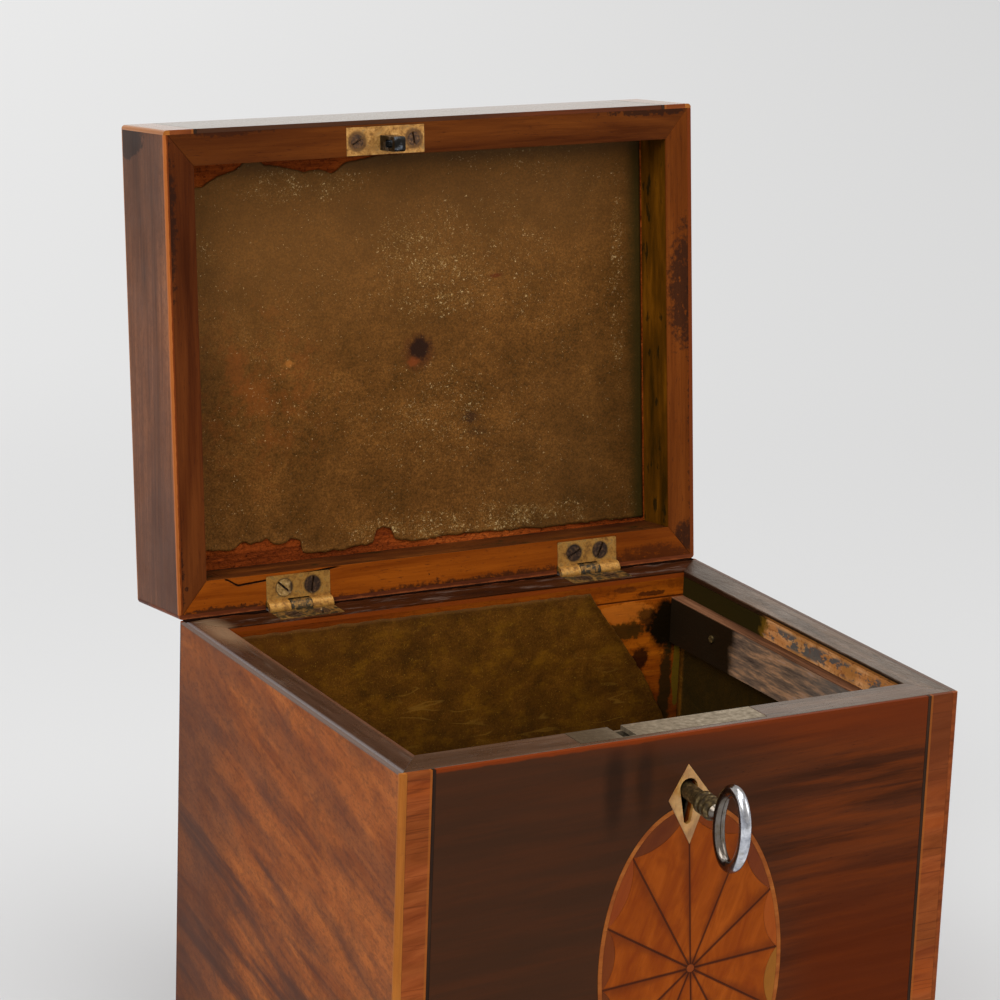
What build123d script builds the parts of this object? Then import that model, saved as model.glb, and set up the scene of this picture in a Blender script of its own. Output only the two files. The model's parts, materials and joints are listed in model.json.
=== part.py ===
from build123d import *
import math
import os

# Antique tea caddy, lid standing open. +X is to the right, the front looks towards -Y, +Z is up.
# The origin is the middle of the underside. Everything of the lid is drawn shut and swung open by its plane.

# Overall sizes, lid shut
width = 157.0
depth = 127.0
case_height = 125.0
lid_height = 28.3
lid_gap = 0.3
lid_open_angle = 96.2

# Boards, each wall measured with its outer veneer
side_wall = 9.3
front_thickness = 10.9
back_thickness = 9.9
veneer = 1.2
capping = 1.6
base_thickness = 8.0
base_rebate = 4.0
veneer_lift = 0.3
arris = 1.0
same_place = 0.001

# How much narrower the rails of the lid are than the walls below them, and the recess between them
side_rail_step = 1.1
front_rail_step = 1.5
back_rail_step = 0.4
lid_recess = 13.2
handle_hole_radius = 1.5
handle_hole_depth = 7.0

# Lines and bands let into the veneer
corner_string = 1.8
crossband = 6.5
dark_string = 0.8
glue_line = 0.06

# Fan inlay on the front. It and the escutcheon lean to the left, about the middle of the key
inlay_lean = 3.8
patera_below_key = 47.4
patera_half_width = 26.2
patera_half_height = 43.4
patera_border_width = 1.1
petal_count = 12
petal_crowding = 0.845
scallop_depth = 2.9
eye_radius = 1.1

# Escutcheon and keyhole
escutcheon_width = 11.5
escutcheon_height = 20.8
escutcheon_below_key = 4.1
escutcheon_widest_above_middle = 2.0
keyhole_radius = 2.5
keyhole_foot_radius = 1.0
keyhole_drop = 8.3
keyhole_above_key = 0.1

# Lock. Drops are measured from the rim, and the bolt and the key lie behind the front of the lock
lock_offset = -3.0
lock_width = 52.0
lock_below_cap = 1.0
lock_depth = 8.0
selvage = 1.2
lock_back = 0.9
cap_sheet = 0.8
cap_width = 38.0
cap_below_keyhole = 1.4
key_behind_front = 4.6
lock_fit = 0.1
screw_inset = 3.4
screw_top_drop = 5.2
screw_above_foot = 4.5
lock_corner = 1.2

# Bolt and the staple of the lid that it catches
bolt_behind_front = 3.2
bolt_thickness = 1.5
bolt_throw = 4.8
bolt_top_gap = 0.3
bolt_drop = 9.0
key_below_bolt = 5.4
bolt_tail = 13.5
nose_height = 3.2
nose_drop = 4.8
nose_chamfer = 0.5
moving_gap = 0.3
staple_offset = -15.4
staple_thickness = 3.2
staple_wall = 0.9
staple_drop = 8.4
staple_eye_height = 4.0
staple_corner = 0.9
eye_corner = 0.5
stump_radius = 1.0
stump_offset = 4.0
stump_drop = 4.2
spring_strip = 0.35
spring_width = 2.8
spring_left = -7.0
spring_right = 2.0

# Link plate in the lid
link_plate_length = 22.8
link_plate_width = 7.4
link_plate_forward = 0.64
link_plate_thickness = 1.2
link_screw_spacing = 16.6

# Key
key_sag = 5.0
bit_reach = 7.2
bit_thickness = 1.6
bit_length = 3.4
bit_setback = 0.9
shank_radius = 2.1
pipe_radius = 1.2
pipe_depth = 4.5
pipe_overhang = 1.0
drill_pin_radius = 0.8
drill_pin_length = 4.3
drill_pin_chamfer = 0.3
collar_radius = 2.9
collar_count = 3
collar_start = 13.6
bead_width = 1.9
bead_shoulder = 0.55
shank_end = 20.0
bow_half_length = 7.2
bow_half_width = 11.2
bow_wire = 1.5
bow_drop = 1.2
bow_root = 0.2
bow_neck = 0.9

# Battens
batten_width = 3.8
batten_height = 13.0
batten_drop = 7.0
nail_radius = 0.5
nail_head_radius = 1.0
nail_head = 0.5
nail_length = 8.0
nail_from_end = 22.0
nail_rise = 7.15
wood_fit = 0.05

# Foil paper
foil = 0.25
foil_drop = 2.5
foil_hole_radius = 3.0
foil_margin = 0.4
# Where the foil is torn off at the back right: in from the corner, and down from its top edge
foil_tear = ((0, 52), (5, 39), (12, 26), (20.4, 14.1), (28.1, 4.1), (30.5, 0))

# Hinges
hinge_offset = 44.0
hinge_length = 18.6
hinge_leaf_depth = 8.8
hinge_leaf = 1.2
leaf_corner = 0.5
seat_run_out = 2.0
barrel_radius = 2.1
hinge_pin_radius = 0.8
pin_running_fit = 0.05
knuckle_gap = 0.15
hinge_seat_gap = 0.3
hinge_screw_spacing = 8.2
hinge_screw_from_edge = 3.4

# Screws: head radius, depth of the countersunk head, shank radius, length
hinge_screw = {"head": 2.3, "sink": 1.15, "shank": 1.1, "length": 6.6}
small_screw = {"head": 1.8, "sink": 0.85, "shank": 0.85, "length": 5.4}
slot_width = 0.6
slot_depth = 0.55

# Places worked out from the sizes above
front_y = -depth / 2
back_y = depth / 2
rim_z = case_height
lid_bottom = rim_z + lid_gap
lid_top = lid_bottom + lid_height
recess_top = lid_bottom + lid_recess
top_veneer_z = lid_top - veneer
inner_x = width / 2 - side_wall
inner_front_y = front_y + front_thickness
inner_back_y = back_y - back_thickness
wall_top = rim_z - capping
lock_front_y = inner_front_y - lock_depth
lock_inner_y = inner_front_y - lock_back
bolt_y = lock_front_y + bolt_behind_front
key_y = lock_front_y + key_behind_front
key_z = rim_z - bolt_drop - key_below_bolt
keyhole_z = key_z + keyhole_above_key
cap_drop = rim_z - keyhole_z + keyhole_drop + keyhole_foot_radius + cap_below_keyhole
lock_height = cap_drop + lock_below_cap
screw_bottom_drop = lock_height - screw_above_foot
hinge_y = back_y
hinge_z = rim_z + lid_gap / 2

sides = ("front", "right", "back", "left")
hinge_places = (-hinge_offset, hinge_offset)

# The lid swings about the hinge pins, and the key sags about the middle of its drill pin
to_hinge = Location((0, hinge_y, hinge_z))
from_hinge = Location((0, -hinge_y, -hinge_z))
lid_swing = to_hinge * Location((0, 0, 0), (-lid_open_angle, 0, 0)) * from_hinge
sag = math.radians(key_sag)
key_frame = Plane(origin=(0, key_y, key_z), x_dir=(1, 0, 0), z_dir=(0, -math.cos(sag), -math.sin(sag)))


def shut(plane):
    return plane


def opened(plane):
    return Plane(lid_swing * plane.location)


def elevation(y):
    return Plane.XZ.offset(-y)


def rectangle_corners(half_x, low_y, high_y):
    return [(-half_x, low_y), (half_x, low_y), (half_x, high_y), (-half_x, high_y)]


def mitred_board(outer, inner, side, plane, thickness):
    """One side of a mitred frame, extruded up from the plane."""
    first = sides.index(side)
    second = (first + 1) % 4
    with BuildPart() as board:
        with BuildSketch(plane):
            with BuildLine():
                Polyline(outer[first], outer[second], inner[second], inner[first], close=True)
            make_face()
        extrude(amount=thickness)
    return board.part


def slab(plane, low, high, thickness):
    """A flat sheet between two corners on the plane, extruded along the plane's normal."""
    with BuildPart() as sheet:
        with BuildSketch(plane):
            with Locations(((low[0] + high[0]) / 2, (low[1] + high[1]) / 2)):
                Rectangle(high[0] - low[0], high[1] - low[1])
        extrude(amount=thickness)
    return sheet.part


def rod(plane, radius, length):
    with BuildPart() as round_bar:
        with BuildSketch(plane):
            Circle(radius)
        extrude(amount=length)
    return round_bar.part


def screw_body(plane, size, grow=0.0):
    """A countersunk screw without its thread, whose head lies in the plane and looks along its normal."""
    profile = Plane(origin=plane.origin, x_dir=plane.x_dir, z_dir=-plane.y_dir)
    head = size["head"] + grow
    shank = size["shank"] + grow
    with BuildPart() as body:
        with BuildSketch(profile):
            with BuildLine():
                Polyline(
                    (0, 0),
                    (head, 0),
                    (shank, -size["sink"]),
                    (shank, -size["length"] - grow),
                    (0, -size["length"] - grow),
                    close=True,
                )
            make_face()
        revolve(axis=Axis(plane.origin, plane.z_dir))
    return body.part


def wood_screw(plane, size, slot_turn):
    with BuildPart() as screw:
        add(screw_body(plane, size))
        with BuildSketch(plane):
            Rectangle(3 * size["head"], slot_width, rotation=slot_turn)
        extrude(amount=-slot_depth, mode=Mode.SUBTRACT)
    return screw.part


def screw_row(planes, size, slot_turns):
    with BuildPart() as screws:
        for plane, turn in zip(planes, slot_turns):
            add(wood_screw(plane, size, turn))
    return screws.part


def screw_holes(planes, size):
    with BuildPart() as holes:
        for plane in planes:
            add(screw_body(plane, size, wood_fit))
    return holes.part


def keyhole_outline():
    """Round above for the pipe of the key, narrowing to a foot for its bit."""
    with BuildSketch() as outline:
        with Locations((0, keyhole_z)):
            Circle(keyhole_radius)
        with Locations((0, keyhole_z - keyhole_drop)):
            Circle(keyhole_foot_radius)
        make_hull()
    return outline.sketch


def keyhole(from_y, to_y):
    with BuildPart() as hole:
        with BuildSketch(elevation(from_y)):
            add(keyhole_outline())
        extrude(amount=from_y - to_y)
    return hole.part


def outer_arrises(body, place):
    """The straight edges of a piece where two outer faces of the shut box meet. They are worn round."""
    frame = place(Plane.XY)
    worn = []
    for edge in body.edges().filter_by(GeomType.LINE):
        middle = frame.to_local_coords(edge.center())
        distances = (abs(middle.X) - width / 2, abs(middle.Y) - depth / 2, middle.Z - lid_top)
        if sum(abs(distance) < same_place for distance in distances) > 1:
            worn.append(edge)
    return worn


def ornament_plane(drop):
    """The front face, from the middle of an ornament that lies this far below the key on the leaning line."""
    lean = math.radians(inlay_lean)
    middle = (drop * math.sin(lean), front_y, key_z - drop * math.cos(lean))
    return Plane(origin=middle, x_dir=(math.cos(lean), 0, math.sin(lean)), z_dir=(0, -1, 0))


def escutcheon_outline(grow=0.0):
    with BuildSketch() as outline:
        with BuildLine():
            Polyline(
                (0, escutcheon_height / 2),
                (escutcheon_width / 2, escutcheon_widest_above_middle),
                (0, -escutcheon_height / 2),
                (-escutcheon_width / 2, escutcheon_widest_above_middle),
                close=True,
            )
        make_face()
        if grow:
            offset(amount=grow, kind=Kind.INTERSECTION)
    return outline.sketch


# Hinges. A leaf is a plate let into the wood, with knuckles rolled round the pin

knuckle = (hinge_length - 2 * knuckle_gap) / 3
middle_knuckle = (knuckle + knuckle_gap, 2 * knuckle + knuckle_gap)
outer_knuckles = ((0, knuckle), (2 * knuckle + 2 * knuckle_gap, hinge_length))


def leaf_with_knuckles(place, left, plate_low, own, other):
    """A leaf that starts at left, with its own knuckles, cut back round the other leaf's."""
    front_edge = hinge_y - hinge_leaf_depth
    with BuildPart() as leaf:
        with BuildSketch(place(Plane.XY.offset(plate_low))):
            with Locations((left + hinge_length / 2, (front_edge + hinge_y) / 2)):
                RectangleRounded(hinge_length, hinge_leaf_depth, leaf_corner)
        extrude(amount=hinge_leaf)
        for start, end in other:
            with BuildSketch(place(Plane.YZ.offset(left + start - knuckle_gap))):
                with Locations((hinge_y, hinge_z)):
                    Circle(barrel_radius + moving_gap)
                    Rectangle(
                        barrel_radius + moving_gap,
                        2 * barrel_radius,
                        align=(Align.MIN, Align.CENTER),
                    )
            extrude(amount=end - start + 2 * knuckle_gap, mode=Mode.SUBTRACT)
        for start, end in own:
            with BuildSketch(place(Plane.YZ.offset(left + start))):
                with Locations((hinge_y, hinge_z)):
                    Circle(barrel_radius)
            extrude(amount=end - start)
        with BuildSketch(place(Plane.YZ.offset(left))):
            with Locations((hinge_y, hinge_z)):
                Circle(hinge_pin_radius + pin_running_fit)
        extrude(amount=hinge_length, mode=Mode.SUBTRACT)
    return leaf.part


def hinge_seat(place, plate_low):
    """The recess for one row of leaves and barrels, cut out of the wood."""
    with BuildPart() as seat:
        for middle in hinge_places:
            with BuildSketch(place(Plane.XY.offset(plate_low))):
                with Locations((middle, hinge_y - hinge_leaf_depth - wood_fit)):
                    Rectangle(hinge_length + 2 * wood_fit, hinge_leaf_depth + seat_run_out,
                              align=(Align.CENTER, Align.MIN))
            extrude(amount=hinge_leaf)
            with BuildSketch(place(Plane.YZ.offset(middle - hinge_length / 2 - hinge_seat_gap))):
                with Locations((hinge_y, hinge_z)):
                    Circle(barrel_radius + hinge_seat_gap)
            extrude(amount=hinge_length + 2 * hinge_seat_gap)
    return seat.part


def hinge_screw_planes(place, height, upward):
    normal = (0, 0, 1) if upward else (0, 0, -1)
    y = hinge_y - hinge_leaf_depth + hinge_screw_from_edge
    places = []
    for middle in hinge_places:
        for step in (-0.5, 0.5):
            origin = (middle + step * hinge_screw_spacing, y, height)
            places.append(place(Plane(origin=origin, x_dir=(1, 0, 0), z_dir=normal)))
    return places


case_screw_planes = hinge_screw_planes(shut, rim_z, True)
lid_screw_planes = hinge_screw_planes(opened, lid_bottom, False)
case_leaf_low = rim_z - hinge_leaf
case_hinge_seat = hinge_seat(shut, case_leaf_low)
lid_hinge_seat = hinge_seat(opened, lid_bottom)

with BuildPart() as hinge_case_leaves:
    for middle in hinge_places:
        add(leaf_with_knuckles(shut, middle - hinge_length / 2, case_leaf_low, (middle_knuckle,),
                               outer_knuckles))
    add(screw_holes(case_screw_planes, hinge_screw), mode=Mode.SUBTRACT)
hinge_case_leaves.part.label = "hinge_case_leaves"

with BuildPart() as hinge_lid_leaves:
    for middle in hinge_places:
        add(leaf_with_knuckles(opened, middle - hinge_length / 2, lid_bottom, outer_knuckles,
                               (middle_knuckle,)))
    add(screw_holes(lid_screw_planes, hinge_screw), mode=Mode.SUBTRACT)
hinge_lid_leaves.part.label = "hinge_lid_leaves"

with BuildPart() as hinge_pins:
    for middle in hinge_places:
        start = Plane.YZ.offset(middle - hinge_length / 2)
        pin_end = Plane(origin=start.from_local_coords((hinge_y, hinge_z, 0)), z_dir=start.z_dir)
        add(rod(pin_end, hinge_pin_radius, hinge_length))
hinge_pins.part.label = "hinge_pins"

with BuildPart() as hinge_case_screws:
    add(screw_row(case_screw_planes, hinge_screw, (20, 70, 135, 10)))
hinge_case_screws.part.label = "hinge_case_screws"

with BuildPart() as hinge_lid_screws:
    add(screw_row(lid_screw_planes, hinge_screw, (-42, 80, 25, 65)))
hinge_lid_screws.part.label = "hinge_lid_screws"


# Case walls and their capping

case_outer = rectangle_corners(width / 2 - veneer, front_y + veneer, back_y - veneer)
case_inner = rectangle_corners(inner_x, inner_front_y, inner_back_y)
base_low = (-inner_x - base_rebate, inner_front_y - base_rebate)
base_high = (inner_x + base_rebate, inner_back_y + base_rebate)

lock_screw_planes = []
for sign in (-1, 1):
    for drop in (screw_top_drop, screw_bottom_drop):
        at = (lock_offset + sign * (lock_width / 2 - screw_inset), inner_front_y, rim_z - drop)
        lock_screw_planes.append(Plane(origin=at, x_dir=(1, 0, 0), z_dir=(0, 1, 0)))

batten_low_z = rim_z - batten_drop - batten_height
nail_z = batten_low_z + nail_rise


def nail_planes(sign):
    """Planes at the nail heads, on the inner face of the batten on that side."""
    places = []
    for y in (inner_front_y + nail_from_end, inner_back_y - nail_from_end):
        origin = (sign * (inner_x - batten_width), y, nail_z)
        places.append(Plane(origin=origin, x_dir=(0, 1, 0), z_dir=(-sign, 0, 0)))
    return places


def lock_seat():
    """What is cut from the front for the lock: a pocket, and a sinking for its two plates."""
    with BuildPart() as seat:
        half = lock_width / 2 + lock_fit
        add(slab(elevation(inner_front_y), (lock_offset - half, rim_z - lock_height - lock_fit),
                 (lock_offset + half, rim_z), lock_back))
        add(slab(elevation(inner_front_y), (lock_offset - half, rim_z - selvage),
                 (lock_offset + half, rim_z), lock_depth + lock_fit))
        half = cap_width / 2 + lock_fit
        add(slab(elevation(inner_front_y), (lock_offset - half, rim_z - cap_drop - lock_fit),
                 (lock_offset + half, rim_z), lock_depth + lock_fit))
    return seat.part


def case_wall(side):
    with BuildPart() as wall:
        add(mitred_board(case_outer, case_inner, side, Plane.XY, wall_top))
        add(slab(Plane.XY, base_low, base_high, base_thickness), mode=Mode.SUBTRACT)
        if side == "front":
            add(lock_seat(), mode=Mode.SUBTRACT)
            add(keyhole(front_y, inner_front_y), mode=Mode.SUBTRACT)
            add(screw_holes(lock_screw_planes, small_screw), mode=Mode.SUBTRACT)
        if side == "back":
            add(case_hinge_seat, mode=Mode.SUBTRACT)
            add(screw_holes(case_screw_planes, hinge_screw), mode=Mode.SUBTRACT)
        if side in ("left", "right"):
            for plane in nail_planes(1 if side == "right" else -1):
                add(rod(plane, nail_radius + wood_fit, -nail_length - wood_fit), mode=Mode.SUBTRACT)
    wall.part.label = side + "_wall"
    return wall


def case_capping(side):
    with BuildPart() as strip:
        add(mitred_board(case_outer, case_inner, side, Plane.XY.offset(wall_top), capping))
        if side == "front":
            add(lock_seat(), mode=Mode.SUBTRACT)
        if side == "back":
            add(case_hinge_seat, mode=Mode.SUBTRACT)
            add(screw_holes(case_screw_planes, hinge_screw), mode=Mode.SUBTRACT)
    strip.part.label = side + "_capping"
    return strip


case_walls = [case_wall(side) for side in sides]
case_cappings = [case_capping(side) for side in sides]

with BuildPart() as base_board:
    add(slab(Plane.XY, base_low, base_high, base_thickness))
base_board.part.label = "base_board"


# Veneers. The front and back sheets run over the ends of the side sheets


def side_veneer(place, x, low_z, high_z):
    """A sheet on the left or right flank, between the front and back sheets."""
    plane = place(Plane.YZ.offset(x))
    return slab(plane, (front_y + veneer, low_z), (back_y - veneer, high_z), veneer)


def front_strips(place, low_z, high_z, from_edge, strip_width):
    """A pair of upright strips in the front veneer, the same distance from each corner."""
    outer = width / 2 - from_edge
    with BuildPart() as pair:
        for left in (-outer, outer - strip_width):
            add(slab(place(elevation(front_y)), (left, low_z), (left + strip_width, high_z), -veneer))
    return pair.part


def front_field(place, low_z, high_z):
    half = width / 2 - corner_string - crossband - dark_string - 3 * glue_line
    return slab(place(elevation(front_y)), (-half, low_z), (half, high_z), -veneer)


crossband_edge = corner_string + glue_line
dark_string_edge = crossband_edge + crossband + glue_line


def petal_tip(index):
    """Where the divider of this number meets the border, counted round from the top."""
    turn = 2 * math.pi * index / petal_count
    across = petal_crowding * math.sin(turn)
    up = math.cos(turn)
    half_width = patera_half_width - patera_border_width
    half_height = patera_half_height - patera_border_width
    reach = 1 / math.hypot(across / half_width, up / half_height)
    return Vector(reach * across, reach * up)


def scallop_hollow(index, depth_in):
    """The middle of the hollowed end of a petal, this far in from the line between its tips."""
    middle = (petal_tip(index) + petal_tip(index + 1)) / 2
    return middle * (1 - depth_in / middle.length)


def petal_outline(index):
    first = petal_tip(index)
    second = petal_tip(index + 1)
    with BuildSketch() as petal:
        with BuildLine():
            Line((0, 0), first)
            ThreePointArc(first, scallop_hollow(index, scallop_depth), second)
            Line(second, (0, 0))
        make_face()
    return petal.sketch


def scalloped_star():
    """The outline of all the petals together, a glue line larger at the hollows."""
    with BuildSketch() as star:
        with BuildLine():
            for index in range(petal_count):
                hollow = scallop_hollow(index, scallop_depth - glue_line)
                ThreePointArc(petal_tip(index), hollow, petal_tip(index + 1))
        make_face()
    return star.sketch


def inlay(outline):
    """A piece of marquetry, let into the front veneer round the middle of the fan."""
    with BuildPart() as piece:
        with BuildSketch(ornament_plane(patera_below_key)):
            add(outline)
        extrude(amount=-veneer)
    return piece.part


def escutcheon_seat():
    with BuildPart() as seat:
        with BuildSketch(ornament_plane(escutcheon_below_key)):
            add(escutcheon_outline(glue_line))
        extrude(amount=-veneer)
    return seat.part


inner_half_width = patera_half_width - patera_border_width
inner_half_height = patera_half_height - patera_border_width

with BuildPart() as patera_petals:
    for index in range(petal_count):
        with BuildSketch() as shaped:
            add(petal_outline(index))
            Circle(eye_radius, mode=Mode.SUBTRACT)
            offset(amount=-glue_line / 2, kind=Kind.INTERSECTION)
        add(inlay(shaped.sketch))
    add(escutcheon_seat(), mode=Mode.SUBTRACT)
patera_petals.part.label = "patera_petals"

with BuildPart() as patera_segments:
    with BuildSketch() as lenses:
        Ellipse(inner_half_width - glue_line, inner_half_height - glue_line)
        add(scalloped_star(), mode=Mode.SUBTRACT)
    add(inlay(lenses.sketch))
    add(escutcheon_seat(), mode=Mode.SUBTRACT)
patera_segments.part.label = "patera_segments"

with BuildPart() as patera_border:
    with BuildSketch() as band:
        Ellipse(patera_half_width, patera_half_height)
        Ellipse(inner_half_width, inner_half_height, mode=Mode.SUBTRACT)
    add(inlay(band.sketch))
    add(escutcheon_seat(), mode=Mode.SUBTRACT)
patera_border.part.label = "patera_border"

with BuildPart() as patera_eye:
    with BuildSketch() as disc:
        Circle(eye_radius - glue_line)
    add(inlay(disc.sketch))
patera_eye.part.label = "patera_eye"

with BuildPart() as escutcheon:
    with BuildSketch(ornament_plane(escutcheon_below_key)):
        add(escutcheon_outline())
    extrude(amount=-veneer)
    add(keyhole(front_y, inner_front_y), mode=Mode.SUBTRACT)
escutcheon.part.label = "escutcheon"

with BuildPart() as front_veneer:
    add(front_field(shut, veneer_lift, rim_z))
    with BuildSketch() as oval:
        Ellipse(patera_half_width + glue_line, patera_half_height + glue_line)
    add(inlay(oval.sketch), mode=Mode.SUBTRACT)
    add(escutcheon_seat(), mode=Mode.SUBTRACT)
front_veneer.part.label = "front_veneer"

with BuildPart() as front_crossbanding:
    add(front_strips(shut, veneer_lift, rim_z, crossband_edge, crossband))
front_crossbanding.part.label = "front_crossbanding"

with BuildPart() as front_corner_strings:
    add(front_strips(shut, veneer_lift, rim_z, 0, corner_string))
    fillet(outer_arrises(front_corner_strings, shut), arris)
front_corner_strings.part.label = "front_corner_strings"

with BuildPart() as front_dark_strings:
    add(front_strips(shut, veneer_lift, rim_z, dark_string_edge, dark_string))
front_dark_strings.part.label = "front_dark_strings"

with BuildPart() as right_veneer:
    add(side_veneer(shut, width / 2 - veneer, veneer_lift, rim_z))
right_veneer.part.label = "right_veneer"

with BuildPart() as left_veneer:
    add(side_veneer(shut, -width / 2, veneer_lift, rim_z))
left_veneer.part.label = "left_veneer"

with BuildPart() as back_veneer:
    add(slab(elevation(back_y), (-width / 2, veneer_lift), (width / 2, rim_z), veneer))
    fillet(outer_arrises(back_veneer, shut), arris)
    add(case_hinge_seat, mode=Mode.SUBTRACT)
back_veneer.part.label = "back_veneer"


# Battens, nails and foil paper inside the case


def batten(sign):
    low_x = inner_x - batten_width if sign > 0 else -inner_x
    with BuildPart() as bar:
        add(slab(Plane.XY.offset(batten_low_z), (low_x, inner_front_y),
                 (low_x + batten_width, inner_back_y - foil), batten_height))
        for plane in nail_planes(sign):
            add(rod(plane, nail_radius + wood_fit, -nail_length), mode=Mode.SUBTRACT)
    return bar.part


with BuildPart() as right_batten:
    add(batten(1))
right_batten.part.label = "right_batten"

with BuildPart() as left_batten:
    add(batten(-1))
left_batten.part.label = "left_batten"

with BuildPart() as batten_nails:
    for sign in (-1, 1):
        for plane in nail_planes(sign):
            add(rod(plane, nail_radius, -nail_length))
            add(rod(plane, nail_head_radius, nail_head))
batten_nails.part.label = "batten_nails"

floor_z = base_thickness + foil

with BuildPart() as wall_linings:
    back_top = rim_z - foil_drop
    with BuildSketch(elevation(inner_back_y)):
        with BuildLine():
            Polyline(
                (-inner_x + foil, floor_z),
                (inner_x - foil, floor_z),
                *((inner_x - foil - inward, back_top - down) for inward, down in foil_tear),
                (-inner_x + foil, back_top),
                close=True,
            )
        make_face()
    extrude(amount=foil)
    add(slab(elevation(inner_front_y), (-inner_x + foil, floor_z),
             (inner_x - foil, rim_z - lock_height - lock_fit), -foil))
    for left in (-inner_x, inner_x - foil):
        add(slab(Plane.YZ.offset(left), (inner_front_y, floor_z), (inner_back_y, batten_low_z), foil))
wall_linings.part.label = "wall_linings"

with BuildPart() as base_lining:
    add(slab(Plane.XY.offset(base_thickness), (-inner_x, inner_front_y), (inner_x, inner_back_y), foil))
base_lining.part.label = "base_lining"


# Lock: the two plates, the cap over the works, drill pin, stump, spring and screws

with BuildPart() as lock_plate:
    half = lock_width / 2
    add(slab(elevation(inner_front_y), (lock_offset - half, rim_z - lock_height), (lock_offset + half, rim_z),
             lock_back))
    fillet(lock_plate.edges().filter_by(Axis.Y).group_by(Axis.Z)[0], lock_corner)
    add(slab(Plane.XY.offset(rim_z - selvage), (lock_offset - half, lock_front_y),
             (lock_offset + half, inner_front_y), selvage))
    slot_x = staple_thickness / 2 + moving_gap
    slot_front = bolt_y - bolt_thickness / 2 - moving_gap - staple_wall - 3 * moving_gap
    add(slab(Plane.XY.offset(rim_z - selvage), (staple_offset - slot_x, slot_front),
             (staple_offset + slot_x, inner_front_y), selvage), mode=Mode.SUBTRACT)
    add(screw_holes(lock_screw_planes, small_screw), mode=Mode.SUBTRACT)
lock_plate.part.label = "lock_plate"

with BuildPart() as lock_cap:
    half = cap_width / 2
    low = (lock_offset - half, rim_z - cap_drop)
    high = (lock_offset + half, rim_z - selvage)
    add(slab(elevation(lock_front_y), low, high, -(lock_depth - lock_back)))
    add(slab(elevation(lock_front_y + cap_sheet), (low[0] + cap_sheet, low[1] + cap_sheet),
             (high[0] - cap_sheet, high[1]), -lock_depth), mode=Mode.SUBTRACT)
    add(keyhole(front_y, inner_front_y), mode=Mode.SUBTRACT)
lock_cap.part.label = "lock_cap"

with BuildPart() as lock_drill_pin:
    foot = Plane(origin=(0, lock_inner_y, key_z), x_dir=(1, 0, 0), z_dir=(0, -1, 0))
    add(rod(foot, drill_pin_radius, drill_pin_length))
    chamfer(lock_drill_pin.faces().sort_by(Axis.Y)[0].edges(), drill_pin_chamfer)
lock_drill_pin.part.label = "lock_drill_pin"

with BuildPart() as lock_stump:
    foot = Plane(origin=(stump_offset, lock_inner_y, rim_z - stump_drop), x_dir=(1, 0, 0), z_dir=(0, -1, 0))
    add(rod(foot, stump_radius, lock_inner_y - bolt_y + bolt_thickness / 2 + moving_gap))
lock_stump.part.label = "lock_stump"

with BuildPart() as lock_spring:
    reach = bolt_y + bolt_thickness / 2 + moving_gap
    middle = (spring_left + spring_right) / 2
    with BuildSketch(Plane.XY.offset(rim_z - stump_drop - spring_width / 2)):
        with BuildLine():
            ThreePointArc((spring_left, lock_inner_y), (middle, reach), (spring_right, lock_inner_y))
            Line((spring_right, lock_inner_y), (spring_right - spring_strip, lock_inner_y))
            ThreePointArc((spring_right - spring_strip, lock_inner_y), (middle, reach + spring_strip),
                          (spring_left + spring_strip, lock_inner_y))
            Line((spring_left + spring_strip, lock_inner_y), (spring_left, lock_inner_y))
        make_face()
    extrude(amount=spring_width)
lock_spring.part.label = "lock_spring"

with BuildPart() as lock_screws:
    add(screw_row(lock_screw_planes, small_screw, (15, 80, 120, 50)))
lock_screws.part.label = "lock_screws"


# Bolt, drawn withdrawn. Its talon is wide enough for the bit to pass at any place in the turn

bit_corner = math.hypot(bit_reach, bit_thickness / 2)
talon_half = math.sqrt(bit_corner ** 2 - key_below_bolt ** 2) + knuckle_gap
talon_middle = bolt_throw / 2
talon_top = key_z + bit_corner + moving_gap
bolt_top = rim_z - selvage - bolt_top_gap
bolt_low = rim_z - bolt_drop
bolt_left = staple_offset + staple_thickness / 2 + moving_gap + bolt_throw
nose_tip = staple_offset + staple_thickness / 2 + 3 * moving_gap

with BuildPart() as lock_bolt:
    face = elevation(bolt_y - bolt_thickness / 2)
    with BuildSketch(face):
        with BuildLine():
            Polyline(
                (bolt_left, bolt_low),
                (talon_middle - talon_half, bolt_low),
                (talon_middle - talon_half, talon_top),
                (talon_middle + talon_half, talon_top),
                (talon_middle + talon_half, bolt_low),
                (bolt_tail, bolt_low),
                (bolt_tail, bolt_top),
                (bolt_left, bolt_top),
                close=True,
            )
        make_face()
        with Locations(((nose_tip + bolt_left) / 2, rim_z - nose_drop)):
            Rectangle(bolt_left - nose_tip, nose_height)
        with Locations((stump_offset + bolt_throw / 2, rim_z - stump_drop)):
            SlotCenterToCenter(bolt_throw, 2 * stump_radius + 2 * knuckle_gap, mode=Mode.SUBTRACT)
    extrude(amount=-bolt_thickness)
    nose_edges = lock_bolt.edges().filter_by(Axis.Y).group_by(Axis.X)[0]
    chamfer(nose_edges, nose_chamfer)
lock_bolt.part.label = "lock_bolt"


# Key: a turned pipe with collars, a bit below it, and a bow of round wire

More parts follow.
